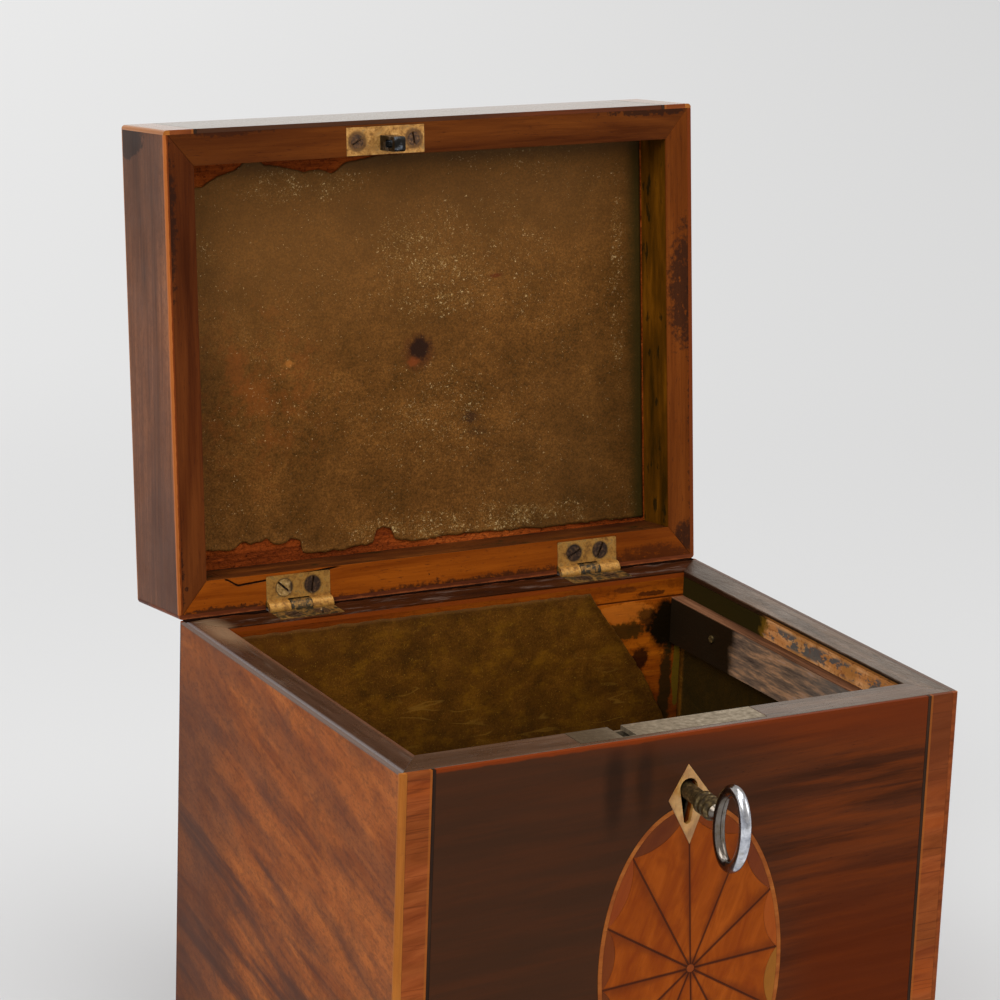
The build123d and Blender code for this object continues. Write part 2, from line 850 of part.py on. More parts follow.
with BuildPart() as key_shank:
    pipe_end = -bit_setback - pipe_overhang
    turned_end = collar_start + collar_count * bead_width
    with BuildSketch(Plane(origin=key_frame.origin, x_dir=key_frame.z_dir, z_dir=-key_frame.x_dir)):
        with BuildLine():
            Polyline((turned_end, 0), (pipe_end, 0), (pipe_end, shank_radius), (collar_start, shank_radius))
            for number in range(collar_count):
                start = collar_start + number * bead_width
                Polyline(
                    (start, shank_radius),
                    (start + bead_shoulder, collar_radius),
                    (start + bead_width - bead_shoulder, collar_radius),
                    (start + bead_width, shank_radius),
                )
            Polyline((turned_end, shank_radius), (shank_end, shank_radius), (shank_end, 0), (turned_end, 0))
        make_face()
    revolve(axis=Axis(key_frame.origin, key_frame.z_dir))
    add(rod(key_frame.offset(pipe_end), pipe_radius, pipe_depth), mode=Mode.SUBTRACT)
    add(slab(key_frame.offset(-bit_setback), (-bit_thickness / 2, -bit_reach),
             (bit_thickness / 2, -(pipe_radius + shank_radius) / 2), bit_length))
key_shank.part.label = "key_shank"

with BuildPart() as key_bow:
    bow_centre = shank_end + bow_root + bow_half_length
    bow_middle = key_frame.offset(bow_centre).origin
    bow_plane = Plane(origin=bow_middle, x_dir=key_frame.z_dir, z_dir=key_frame.x_dir)
    for half_start in (90, 270):
        with BuildLine(bow_plane):
            half_ring = EllipticalCenterArc(
                (0, bow_drop),
                bow_half_length - bow_wire,
                bow_half_width - bow_wire,
                start_angle=half_start,
                arc_size=180,
            )
        with BuildSketch(Plane(origin=half_ring @ 0, z_dir=half_ring % 0)):
            Circle(bow_wire)
        sweep()
    with BuildSketch(key_frame.offset(shank_end)):
        Circle(shank_radius)
    with BuildSketch(key_frame.offset(shank_end + bow_root + bow_wire)):
        Circle(bow_neck)
    loft()
key_bow.part.label = "key_bow"


# Lid boards

lid_outer = rectangle_corners(width / 2 - veneer, front_y + veneer, back_y - veneer)
lid_inner = rectangle_corners(inner_x + side_rail_step, inner_front_y - front_rail_step,
                              inner_back_y + back_rail_step)
link_y = bolt_y - link_plate_forward


def link_screw_planes():
    places = []
    for sign in (-1, 1):
        origin = (staple_offset + sign * link_screw_spacing / 2, link_y, lid_bottom)
        places.append(opened(Plane(origin=origin, x_dir=(1, 0, 0), z_dir=(0, 0, -1))))
    return places


def link_seat():
    with BuildPart() as seat:
        add(slab(opened(Plane.XY.offset(lid_bottom)),
                 (staple_offset - link_plate_length / 2 - wood_fit, link_y - link_plate_width / 2 - wood_fit),
                 (staple_offset + link_plate_length / 2 + wood_fit, link_y + link_plate_width / 2 + wood_fit),
                 link_plate_thickness))
        add(screw_holes(link_screw_planes(), small_screw))
    return seat.part


def lid_rail(side):
    with BuildPart() as rail:
        add(mitred_board(lid_outer, lid_inner, side, opened(Plane.XY.offset(lid_bottom)), lid_recess))
        if side == "front":
            add(link_seat(), mode=Mode.SUBTRACT)
        if side == "back":
            add(lid_hinge_seat, mode=Mode.SUBTRACT)
            add(screw_holes(lid_screw_planes, hinge_screw), mode=Mode.SUBTRACT)
    rail.part.label = "lid_" + side + "_rail"
    return rail


lid_rails = [lid_rail(side) for side in sides]

with BuildPart() as lid_top_board:
    board_thickness = top_veneer_z - recess_top
    add(slab(opened(Plane.XY.offset(recess_top)), lid_outer[0], lid_outer[2], board_thickness))
    hole = opened(Plane.XY.offset(recess_top))
    add(rod(hole, handle_hole_radius, handle_hole_depth), mode=Mode.SUBTRACT)
lid_top_board.part.label = "lid_top_board"

with BuildPart() as lid_lining:
    low = (lid_inner[0][0] + foil_margin, lid_inner[0][1] + foil_margin)
    high = (lid_inner[2][0] - foil_margin, lid_inner[2][1] - foil_margin)
    add(slab(opened(Plane.XY.offset(recess_top)), low, high, -foil))
    add(rod(hole, foil_hole_radius, -foil), mode=Mode.SUBTRACT)
lid_lining.part.label = "lid_lining"


# Lid veneers. The top sheet covers the upper edges of the others and has a border of its own


def border(outer_inset, band_width):
    """A mitred band in the top veneer, this far in from the edge."""
    outer = rectangle_corners(width / 2 - outer_inset, front_y + outer_inset, back_y - outer_inset)
    inset = outer_inset + band_width
    inner = rectangle_corners(width / 2 - inset, front_y + inset, back_y - inset)
    with BuildPart() as frame:
        for side in sides:
            add(mitred_board(outer, inner, side, opened(Plane.XY.offset(top_veneer_z)), veneer))
    return frame.part


with BuildPart() as lid_top_strings:
    add(border(0, corner_string))
    fillet(outer_arrises(lid_top_strings, opened), arris)
lid_top_strings.part.label = "lid_top_strings"

with BuildPart() as lid_top_crossbanding:
    add(border(crossband_edge, crossband))
lid_top_crossbanding.part.label = "lid_top_crossbanding"

with BuildPart() as lid_top_dark_strings:
    add(border(dark_string_edge, dark_string))
lid_top_dark_strings.part.label = "lid_top_dark_strings"

with BuildPart() as lid_top_veneer:
    inset = dark_string_edge + dark_string + glue_line
    add(slab(opened(Plane.XY.offset(top_veneer_z)), (-width / 2 + inset, front_y + inset),
             (width / 2 - inset, back_y - inset), veneer))
lid_top_veneer.part.label = "lid_top_veneer"

with BuildPart() as lid_front_veneer:
    add(front_field(opened, lid_bottom, top_veneer_z))
lid_front_veneer.part.label = "lid_front_veneer"

with BuildPart() as lid_front_crossbanding:
    add(front_strips(opened, lid_bottom, top_veneer_z, crossband_edge, crossband))
lid_front_crossbanding.part.label = "lid_front_crossbanding"

with BuildPart() as lid_corner_strings:
    add(front_strips(opened, lid_bottom, top_veneer_z, 0, corner_string))
    fillet(outer_arrises(lid_corner_strings, opened), arris)
lid_corner_strings.part.label = "lid_corner_strings"

with BuildPart() as lid_front_dark_strings:
    add(front_strips(opened, lid_bottom, top_veneer_z, dark_string_edge, dark_string))
lid_front_dark_strings.part.label = "lid_front_dark_strings"

with BuildPart() as lid_right_veneer:
    add(side_veneer(opened, width / 2 - veneer, lid_bottom, top_veneer_z))
lid_right_veneer.part.label = "lid_right_veneer"

with BuildPart() as lid_left_veneer:
    add(side_veneer(opened, -width / 2, lid_bottom, top_veneer_z))
lid_left_veneer.part.label = "lid_left_veneer"

with BuildPart() as lid_back_veneer:
    add(slab(opened(elevation(back_y)), (-width / 2, lid_bottom), (width / 2, top_veneer_z), veneer))
    fillet(outer_arrises(lid_back_veneer, opened), arris)
    add(lid_hinge_seat, mode=Mode.SUBTRACT)
lid_back_veneer.part.label = "lid_back_veneer"


# Link plate, with the staple that drops into the lock

staple_y = bolt_thickness + 2 * moving_gap + 2 * staple_wall
eye_y = bolt_thickness + 2 * moving_gap

with BuildPart() as link_plate:
    with BuildSketch(opened(Plane.XY.offset(lid_bottom))):
        with Locations((staple_offset, link_y)):
            Rectangle(link_plate_length, link_plate_width)
        with Locations((staple_offset, bolt_y)):
            Rectangle(staple_thickness, staple_y, mode=Mode.SUBTRACT)
    extrude(amount=link_plate_thickness)
    add(screw_holes(link_screw_planes(), small_screw), mode=Mode.SUBTRACT)
link_plate.part.label = "link_plate"

with BuildPart() as link_staple:
    eye_middle = -nose_drop - lid_gap
    with BuildSketch(opened(Plane.YZ.offset(staple_offset - staple_thickness / 2))):
        with Locations((bolt_y, lid_bottom + (link_plate_thickness - staple_drop) / 2)):
            RectangleRounded(staple_y, staple_drop + link_plate_thickness, staple_corner)
        with Locations((bolt_y, lid_bottom + eye_middle)):
            RectangleRounded(eye_y, staple_eye_height, eye_corner, mode=Mode.SUBTRACT)
    extrude(amount=staple_thickness)
link_staple.part.label = "link_staple"

with BuildPart() as link_plate_screws:
    add(screw_row(link_screw_planes(), small_screw, (30, 100)))
link_plate_screws.part.label = "link_plate_screws"


pieces = [
    base_board,
    *case_walls,
    *case_cappings,
    front_veneer,
    right_veneer,
    back_veneer,
    left_veneer,
    front_crossbanding,
    front_corner_strings,
    front_dark_strings,
    patera_border,
    patera_petals,
    patera_segments,
    patera_eye,
    escutcheon,
    left_batten,
    right_batten,
    batten_nails,
    wall_linings,
    base_lining,
    lock_plate,
    lock_cap,
    lock_drill_pin,
    lock_stump,
    lock_spring,
    lock_screws,
    lock_bolt,
    key_shank,
    key_bow,
    hinge_case_leaves,
    hinge_pins,
    hinge_case_screws,
    *lid_rails,
    lid_top_board,
    lid_lining,
    lid_top_veneer,
    lid_top_crossbanding,
    lid_top_strings,
    lid_top_dark_strings,
    lid_front_veneer,
    lid_right_veneer,
    lid_back_veneer,
    lid_left_veneer,
    lid_front_crossbanding,
    lid_corner_strings,
    lid_front_dark_strings,
    link_plate,
    link_staple,
    link_plate_screws,
    hinge_lid_leaves,
    hinge_lid_screws,
]

os.makedirs("parts", exist_ok=True)
for piece in pieces:
    export_step(piece.part, f"parts/{piece.part.label}.step")
print(len(pieces), "nodes written")
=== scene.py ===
import json
import math

import bmesh
import bpy
from mathutils import Matrix, Quaternion, Vector, noise

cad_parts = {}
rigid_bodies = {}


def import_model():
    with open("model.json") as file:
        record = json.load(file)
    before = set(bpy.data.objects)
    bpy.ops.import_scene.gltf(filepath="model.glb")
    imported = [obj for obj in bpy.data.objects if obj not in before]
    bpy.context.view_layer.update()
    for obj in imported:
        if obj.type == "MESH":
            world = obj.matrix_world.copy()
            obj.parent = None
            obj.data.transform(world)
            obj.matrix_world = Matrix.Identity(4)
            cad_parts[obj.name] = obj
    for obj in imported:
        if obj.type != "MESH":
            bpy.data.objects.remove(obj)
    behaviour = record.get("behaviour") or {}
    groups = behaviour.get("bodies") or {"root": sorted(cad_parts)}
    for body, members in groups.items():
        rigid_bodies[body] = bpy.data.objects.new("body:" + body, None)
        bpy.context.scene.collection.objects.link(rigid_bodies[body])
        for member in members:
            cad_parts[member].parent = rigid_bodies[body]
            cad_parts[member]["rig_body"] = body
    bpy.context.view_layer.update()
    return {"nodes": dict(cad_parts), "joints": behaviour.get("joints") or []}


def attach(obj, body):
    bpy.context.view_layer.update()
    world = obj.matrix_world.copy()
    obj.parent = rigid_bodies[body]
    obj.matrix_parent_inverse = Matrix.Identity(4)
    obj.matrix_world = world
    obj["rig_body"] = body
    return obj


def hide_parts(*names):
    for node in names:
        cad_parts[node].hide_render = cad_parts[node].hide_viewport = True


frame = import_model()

mm = 0.001
nodes = frame["nodes"]
joints = {joint["name"]: joint for joint in frame["joints"]}
print("frame loaded:", len(nodes), "pieces")

# The lid stands open at rest, so what lies on it is placed as if it were shut and then swung
lidHinge = joints["lid_hinge"]
lidStop = math.radians(lidHinge["range_deg"][1])
hingeSpot = Vector(lidHinge["pos_m"])
swingShut = Matrix.Rotation(lidStop, 4, "X")
swingOpen = Matrix.Rotation(-lidStop, 4, "X")


def toShut(point):
    return hingeSpot + swingShut @ (Vector(point) - hingeSpot)


def toOpen(point):
    return hingeSpot + swingOpen @ (Vector(point) - hingeSpot)


def ownBox(name):  # in mm, in the case's frame or in the lid's own one as it lies when shut
    lidPiece = nodes[name].get("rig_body") == "lid"
    points = [toShut(v.co) if lidPiece else v.co for v in nodes[name].data.vertices]
    low = [min(p[axis] for p in points) / mm for axis in range(3)]
    high = [max(p[axis] for p in points) / mm for axis in range(3)]
    return Vector(low), Vector(high)


caseLow, caseHigh = ownBox("front_veneer")[0], ownBox("back_veneer")[1]
caseLow.x, caseHigh.x = ownBox("left_veneer")[0].x, ownBox("right_veneer")[1].x
rimZ = caseHigh.z
lidLow, lidHigh = ownBox("lid_top_strings")
lidLow.z = ownBox("lid_front_rail")[0].z
recess = {
    "left": ownBox("lid_lining")[0].x, "right": ownBox("lid_lining")[1].x,
    "front": ownBox("lid_lining")[0].y, "back": ownBox("lid_lining")[1].y,
    "top": ownBox("lid_lining")[1].z,
}
through = 9.0  # how far a painted mark reaches into the wood, in mm
foilThrough = 60.0  # and one on the lid's metal paper, which isn't flat
coatRelief = 0.25  # how much of the wood's relief shows in its varnish
acrossBox = math.radians(-90)  # turns the grain to run from front to back


# Shader helpers. Each takes a material's dictionary, which newMaterial makes

def tone(code):  # a colour as it looks on the screen, turned into the shader's own scale
    parts = [int(code[i:i + 2], 16) / 255 for i in (0, 2, 4)]
    return tuple(((c + 0.055) / 1.055) ** 2.4 if c > 0.04045 else c / 12.92 for c in parts) + (1.0,)


def feed(m, socket, value):
    if isinstance(value, bpy.types.NodeSocket):
        m["tree"].links.new(value, socket)
    else:
        socket.default_value = value


def addNode(m, kind, inputs=None, **settings):
    made = m["tree"].nodes.new("ShaderNode" + kind)
    for name, value in settings.items():
        setattr(made, name, value)
    for name, value in (inputs or {}).items():
        feed(m, made.inputs[name], value)
    return made


def calc(m, operation, first, second=0.0, third=0.0, clamp=False):
    inputs = {0: first, 1: second, 2: third}
    return addNode(m, "Math", inputs, operation=operation, use_clamp=clamp).outputs[0]


def times(m, first, second):
    return calc(m, "MULTIPLY", first, second)


def timesPlus(m, first, second, third):
    return calc(m, "MULTIPLY_ADD", first, second, third)


def minus(m, first, second):
    return calc(m, "SUBTRACT", first, second)


def apart(m, first, second):
    return calc(m, "ABSOLUTE", minus(m, first, second))


def ease(m, value, low, high, start=0.0, end=1.0):  # soft step of the value from start to end
    inputs = {0: value, 1: low, 2: high, 3: start, 4: end}
    return addNode(m, "MapRange", inputs, interpolation_type="SMOOTHSTEP").outputs[0]


def fade(m, axis, low, high, end=1.0):  # the same from 0 to end, along one axis of the box
    return ease(m, m[axis], low, high, 0.0, end)


def shift(m, where, scale=(1, 1, 1), turn=(0, 0, 0), move=(0, 0, 0)):
    inputs = {"Vector": where, "Scale": scale, "Rotation": turn, "Location": move}
    return addNode(m, "Mapping", inputs).outputs[0]


def cloud(m, size, detail=3, rough=0.5, warp=0.0, stretch=None, grain=None, turn=(0, 0, 0)):
    # size is the feature's size in mm. stretch draws it out along the box, and grain along the wood's grain
    where = m["where"]
    if stretch or grain:
        where = shift(m, m["along"] if grain else where, grain or stretch, turn)
    inputs = {"Vector": where, "Scale": 1 / size, "Detail": detail, "Roughness": rough, "Distortion": warp}
    return addNode(m, "TexNoise", inputs).outputs[0]


def stops(m, value, colours, mode="LINEAR"):
    made = addNode(m, "ValToRGB", {0: value})
    made.color_ramp.interpolation = mode
    bar = made.color_ramp.elements
    while len(bar) < len(colours):
        bar.new(1.0)
    for element, (place, code) in zip(bar, colours):
        element.position = place
        element.color = tone(code)
    return made.outputs[0]


def mixed(m, factor, first, second):
    made = addNode(m, "Mix", {0: factor, 6: first, 7: second}, data_type="RGBA")
    return made.outputs[2]


def tint(m, factor, code, strength=None):  # lays one more colour over the material's own
    if strength is not None:
        factor = times(m, factor, strength)
    m["colour"] = mixed(m, factor, m["colour"], tone(code))


def newMaterial(name, body="case"):  # its coordinates are in mm, on the lid as if it were shut
    mat = bpy.data.materials.new(name)
    mat.use_nodes = True
    mat.node_tree.nodes.clear()
    m = {"mat": mat, "tree": mat.node_tree}
    m["shader"] = addNode(m, "BsdfPrincipled")
    addNode(m, "OutputMaterial", {0: m["shader"].outputs[0]})
    where = addNode(m, "TexCoord").outputs["Object"]
    if body == "lid":
        spot = hingeSpot / mm
        m["where"] = shift(m, where, (1 / mm,) * 3, (lidStop, 0, 0), spot - swingShut @ spot)
    else:
        m["where"] = shift(m, where, (1 / mm,) * 3)
    m["x"], m["y"], m["z"] = addNode(m, "SeparateXYZ", {0: m["where"]}).outputs
    return m


def surface(m, rough, relief=None, depth=0.1, **settings):  # relief is a height, and depth its size in mm
    shader = m["shader"]
    for name, value in {"Base Color": m["colour"], "Roughness": rough, **settings}.items():
        feed(m, shader.inputs[name.replace("_", " ")], value)
    bumps = {"Normal": depth}
    if settings.get("Coat_Weight"):  # the coat lies over the relief and half hides it
        bumps["Coat Normal"] = coatRelief * depth
    for name, size in bumps.items() if relief is not None else ():
        bump = addNode(m, "Bump", {"Strength": 1.0, "Distance": size * mm, "Height": relief})
        feed(m, shader.inputs[name], bump.outputs[0])
    return m["mat"]


def blotch(m, centre, size, ragged=0.35, grainy=1.6, soft=0.07):  # 1 inside a ragged patch, 0 outside
    scale = [1 / s for s in size]
    away = shift(m, m["where"], scale, (0, 0, 0), [-c * s for c, s in zip(centre, scale)])
    distance = addNode(m, "VectorMath", {0: away}, operation="LENGTH").outputs["Value"]
    torn = cloud(m, grainy, 4, 0.65)
    edge = timesPlus(m, minus(m, torn, 0.5), 4 * ragged, distance)
    return ease(m, edge, 1.0 + soft, 1.0 - soft)


def edgeNear(m, body):  # distance in mm from the nearest edge of the case or lid, on one of its faces
    low, high = (lidLow, lidHigh) if body == "lid" else (caseLow, caseHigh)
    a, b, c = [
        calc(m, "MINIMUM", minus(m, m[axis], low[i]), minus(m, high[i], m[axis]))
        for i, axis in enumerate("xyz")
    ]
    smaller, larger = calc(m, "MINIMUM", a, b), calc(m, "MAXIMUM", a, b)
    return calc(m, "MAXIMUM", smaller, calc(m, "MINIMUM", larger, c))


def paint(names, mat):
    for name in names:
        slots = nodes[name].data.materials
        slots.clear()
        slots.append(mat)


# Wood. The grain runs along the x axis once the pattern is turned

def wood(name, look, body="case"):
    m = newMaterial(name, body)
    m["look"] = look
    m["along"] = shift(m, m["where"], turn=look.get("turn", (0, 0, 0)), move=look.get("move", (0, 0, 0)))
    figure = cloud(m, look["figure"], 4, 0.55, 0.8, grain=(look.get("draw", 0.14), 1, 1))
    m["fibre"] = cloud(m, 0.9, 5, 0.7, 0.3, grain=(0.035, 1, 1))
    m["pit"] = ease(m, cloud(m, 0.42, 3, 0.6, grain=(0.16, 1, 1)), 0.6, 0.72)
    streak = timesPlus(m, minus(m, m["fibre"], 0.5), look.get("fibre", 0.55), figure)
    m["colour"] = stops(m, streak, [(0.28, look["dark"]), (0.5, look["mid"]), (0.74, look["light"])])
    tint(m, m["pit"], look["pore"], look.get("pores", 0.5))
    return m


def woodSurface(m, extraHeight=None):
    look = m["look"]
    rough = ease(m, cloud(m, 14.0, 4, 0.6), 0.3, 0.7, *look["rough"])
    rough = timesPlus(m, m["pit"], 0.12, rough)
    height = timesPlus(m, m["pit"], -0.6, m["fibre"])
    if extraHeight is not None:
        height = calc(m, "ADD", height, extraHeight)
    coat = look.get("coat", 0.0)
    if look.get("glancing"):  # mirrors only what is seen at a low angle
        facing = addNode(m, "LayerWeight", {"Blend": 0.5}).outputs["Facing"]
        coat = ease(m, facing, 0.45, 0.78, 0.1, coat)
    return surface(m, rough, height, look.get("depth", 0.05),
                   Coat_Weight=coat, Coat_Roughness=look.get("coatRough", 0.1),
                   Specular_IOR_Level=look.get("shine", 0.05), Specular_Tint=(1.0, 0.72, 0.5, 1.0))


polish = {"rough": (0.34, 0.46), "coat": 0.05, "coatRough": 0.06, "depth": 0.03, "shine": 0.05}

leftLook = dict(polish, dark="743c20", mid="945127", light="ad632f", pore="5a3222", figure=9.0, draw=0.3,
                fibre=0.3, turn=(math.radians(-14), 0, acrossBox), shine=0.02, coat=0.02, pores=0.3)
frontLook = dict(polish, dark="34190c", mid="4a2412", light="612e13", pore="241009", figure=8.0, draw=0.07,
                 fibre=0.35, turn=(0, math.radians(2), 0), shine=0.03, coat=0.03)
backLook = dict(polish, dark="3a1c12", mid="5c2b16", light="7d3f1f", pore="220f09", figure=16.0, draw=0.1)
lidSideLook = dict(polish, dark="462a1c", mid="70442b", light="935e3e", pore="33201a", shine=0.05,
                   turn=(math.radians(-2), 0, acrossBox), figure=6.0, draw=0.07, fibre=0.4, pores=0.3)
lidTopLook = dict(polish, dark="34180f", mid="5a2a15", light="84431f", pore="200e08", figure=15.0, draw=0.09)

# The lid's front is uppermost when it stands open, and its old varnish mirrors the pale room along its length
topGloss = {"coat": 1.0, "coatRough": 0.04, "shine": 0.12, "glancing": True}
lidFrontLook = dict(frontLook, mid="4e2412", light="743819", **topGloss)


def sideVeneer(name, node, look, body):
    m = wood(name, look, body)
    low, high = (lidLow, lidHigh) if body == "lid" else (caseLow, caseHigh)
    nick = cloud(m, 3.0, 4, 0.6)
    rub = ease(m, timesPlus(m, nick, 1.2, edgeNear(m, body)), 1.25, 0.75)
    tint(m, rub, "8a4c28", 0.35)
    fleck = cloud(m, 1.1, 5, 0.8, grain=(0.6, 1, 1))
    tint(m, ease(m, fleck, 0.44, 0.64, 0.0, 0.5), "5a3420")
    tint(m, ease(m, cloud(m, 16.0, 6, 0.72, 0.4), 0.48, 0.68, 0.0, 0.45), "5f3a28")
    bands = cloud(m, 13.0, 5, 0.6, 0.5, grain=(0.12, 1, 1))
    deeper = ease(m, m["z"], high.z - 15.0, high.z - 55.0, 0.35, 1.0)
    tint(m, times(m, ease(m, bands, 0.45, 0.62, 0.0, 0.85), deeper), "482f27")
    behind = timesPlus(m, cloud(m, 20.0, 4), 30.0, m["y"])
    behind = times(m, ease(m, behind, 30.0, 62.0), ease(m, m["z"], high.z, high.z - 30.0, 0.3, 0.65))
    tint(m, behind, "4a3027")
    if body == "lid":  # a dark worn corner by the front edge, and a thin bare line along the rim
        tint(m, fade(m, "y", -5.0, -50.0, 0.4), "3c2a22")
        tint(m, blotch(m, (low.x, low.y, high.z), (40, 9, 14), 0.3, 5), "1d1614", 0.7)
        tint(m, fade(m, "z", lidLow.z + 0.3, lidLow.z + 0.12), "6b3010")
        if node == "lid_left_veneer":
            away = calc(m, "MAXIMUM", minus(m, m["x"], low.x), minus(m, m["z"], lidLow.z))
            tint(m, ease(m, timesPlus(m, nick, 0.5, away), 1.1, 0.85), "a95f2c")
    else:
        # a painted grey highlight along the top arris
        tint(m, fade(m, "z", rimZ - 0.6, rimZ - 0.2), "6a5a52")
    paint([node], woodSurface(m))


rightLook = dict(leftLook, turn=(math.radians(12), 0, acrossBox), move=(40, 9, 30))
sideVeneer("leftMahogany", "left_veneer", leftLook, "case")
sideVeneer("rightMahogany", "right_veneer", rightLook, "case")
sideVeneer("lidLeftMahogany", "lid_left_veneer", lidSideLook, "lid")
sideVeneer("lidRightMahogany", "lid_right_veneer", dict(lidSideLook, move=(25, 70, 11)), "lid")


def frontField(name, node, look, body):
    m = wood(name, look, body)
    dusk = ease(m, timesPlus(m, cloud(m, 40.0, 2), 30.0, m["x"]), 62.0, 0.0)
    tint(m, dusk, "3a2417", 0.85)
    streaks = cloud(m, 3.2, 5, 0.65, grain=(0.06, 1, 1))
    bright = times(m, ease(m, streaks, 0.42, 0.7), ease(m, m["x"], 0.0, 40.0, 0.1, 0.65))
    tint(m, bright, "70320f")
    foot = times(m, fade(m, "z", 100.0, 55.0, 0.75), fade(m, "x", 20.0, 45.0))
    tint(m, foot, "551d02")
    if body == "case":  # two painted dark reflections, and redder towards the rim, where the arris is rubbed bare
        for x, z, wide, high, strength in ((-21.0, 114.0, 2.6, 10.0, 0.6), (-12.5, 114.5, 2.2, 9.0, 0.5)):
            darkReflection = blotch(m, (x, caseLow.y, z), (wide, through, high), 0.12, 5, 0.6)
            tint(m, darkReflection, "1c120c", strength)
        warm = ease(m, timesPlus(m, m["x"], 0.12, m["z"]), rimZ - 8.0, rimZ + 4.0, 0.0, 0.75)
        tint(m, warm, "66290d")
        wobble = timesPlus(m, cloud(m, 6.0, 3), 1.0, m["z"])
        rub = times(m, ease(m, wobble, rimZ - 0.7, rimZ), ease(m, m["x"], 40.0, -10.0, 0.15, 0.8))
        tint(m, rub, "7c310c")
    paint([node], woodSurface(m))


frontField("frontMahogany", "front_veneer", frontLook, "case")
frontField("lidFrontMahogany", "lid_front_veneer", lidFrontLook, "lid")


def plainField(name, node, look, body):
    m = wood(name, look, body)
    rub = ease(m, timesPlus(m, cloud(m, 4.0, 4), 1.5, edgeNear(m, body)), 1.4, 0.8)
    tint(m, rub, "98512a", 0.7)
    paint([node], woodSurface(m))


plainField("backMahogany", "back_veneer", backLook, "case")
plainField("lidBackMahogany", "lid_back_veneer", backLook, "lid")
plainField("lidTopMahogany", "lid_top_veneer", lidTopLook, "lid")
print("mahogany done")


def bandings():  # bands cut across the grain, light lines and dark lines
    upright = {"turn": (0, math.radians(90), 0)}
    cross = dict(polish, dark="6e3013", mid="87421c", light="9b5126", pore="5a2812", figure=4.0, draw=0.2,
                 fibre=0.4, pores=0.3, turn=(0, math.radians(8), 0))
    for name, names, body, gloss in (
        ("caseCrossband", ["front_crossbanding"], "case", {}),
        ("lidFrontCrossband", ["lid_front_crossbanding"], "lid", topGloss),
    ):
        look = dict(cross, **gloss)
        m = wood(name, look, body)
        joint = cloud(m, 7.0, 2, 0.4, stretch=(0.02, 0.02, 1))
        tint(m, ease(m, joint, 0.42, 0.6, 0.0, 0.35), "6c3812")
        tint(m, ease(m, joint, 0.45, 0.3, 0.0, 0.5), "9c4814")
        seams = cloud(m, 2.6, 2, 0.4, stretch=(0.02, 0.02, 1))
        tint(m, ease(m, apart(m, seams, 0.56), 0.02, 0.004, 0.0, 0.45), "4a200e")
        if body == "case":  # the right band is darker up by the rim
            dusky = times(m, fade(m, "z", 88.0, 112.0), fade(m, "x", 0.0, 1.0))
            tint(m, dusky, "592912", 0.75)
        innerEdge = ownBox("front_dark_strings")[1].x + 0.1
        line = ease(m, calc(m, "ABSOLUTE", m["x"]), innerEdge + 0.65, innerEdge + 0.45)
        tint(m, line, "98561f", 0.55)
        paint(names, woodSurface(m))
    m = wood("lidTopCrossband", dict(cross, turn=(0, 0, math.radians(45))), "lid")
    paint(["lid_top_crossbanding"], woodSurface(m))
    box = dict(polish, dark="8a4e1c", mid="a05f25", light="b27032", pore="6a3d17", figure=5.0, draw=0.05,
               fibre=0.4, pores=0.2, **upright)
    for name, names, body, gloss in (
        ("caseBoxwood", ["front_corner_strings"], "case", {}),
        ("lidBoxwood", ["lid_corner_strings", "lid_top_strings"], "lid", topGloss),
    ):
        look = dict(box, **gloss)
        m = wood(name, look, body)
        tint(m, ease(m, cloud(m, 5.0, 4, 0.7), 0.52, 0.75), "7a451d", 0.5)
        if body == "case":  # the right string is stained like the band beside it, but for its outer edge
            stained = fade(m, "x", 0.0, 1.0)
            grain = cloud(m, 2.5, 4, 0.6, stretch=(0.2, 0.2, 1))
            red = stops(m, grain, [(0.3, "5c2a10"), (0.5, "7a3a18"), (0.7, "8d4820")])
            m["colour"] = mixed(m, stained, m["colour"], red)
            tint(m, fade(m, "x", caseHigh.x - 0.5, caseHigh.x - 0.3), "c8a07a", 0.8)
        paint(names, woodSurface(m))
    dark = dict(polish, dark="1a100b", mid="2a1b13", light="3c281b", pore="140b08", figure=5.0, fibre=0.4,
                **upright)
    paint(["front_dark_strings"], woodSurface(wood("caseDarkLine", dark)))
    dark = dict(dark, **topGloss)
    m = wood("lidDarkLine", dark, "lid")
    paint(["lid_front_dark_strings", "lid_top_dark_strings"], woodSurface(m))


bandings()

fan = {"petals": 12, "crowding": 0.845, "shade": "5a2309", "ring": 3.4, "stain": 0.72}
fan["eye"] = (ownBox("patera_eye")[0] + ownBox("patera_eye")[1]) / 2
keySpot = Vector(joints["key_turn"]["pos_m"]) / mm
fan["lean"] = math.atan2(keySpot.x - fan["eye"].x, keySpot.z - fan["eye"].z)


def fanCoordinates(m):  # which petal, how far across it, and how far from the eye
    spun = shift(m, m["where"], turn=(0, -fan["lean"], 0))
    split = addNode(m, "SeparateXYZ", {0: spun})
    eye = Quaternion((0, 1, 0), -fan["lean"]) @ fan["eye"]
    side = minus(m, split.outputs[0], eye.x)
    up = minus(m, split.outputs[2], eye.z)
    turn = calc(m, "ARCTAN2", calc(m, "DIVIDE", side, fan["crowding"]), up)
    turn = calc(m, "ADD", calc(m, "DIVIDE", turn, math.tau), 1.0)
    count = times(m, calc(m, "FRACT", turn), fan["petals"])
    across = calc(m, "FRACT", count)
    reach = calc(m, "SQRT", calc(m, "ADD", times(m, side, side), times(m, up, up)))
    return count, across, reach


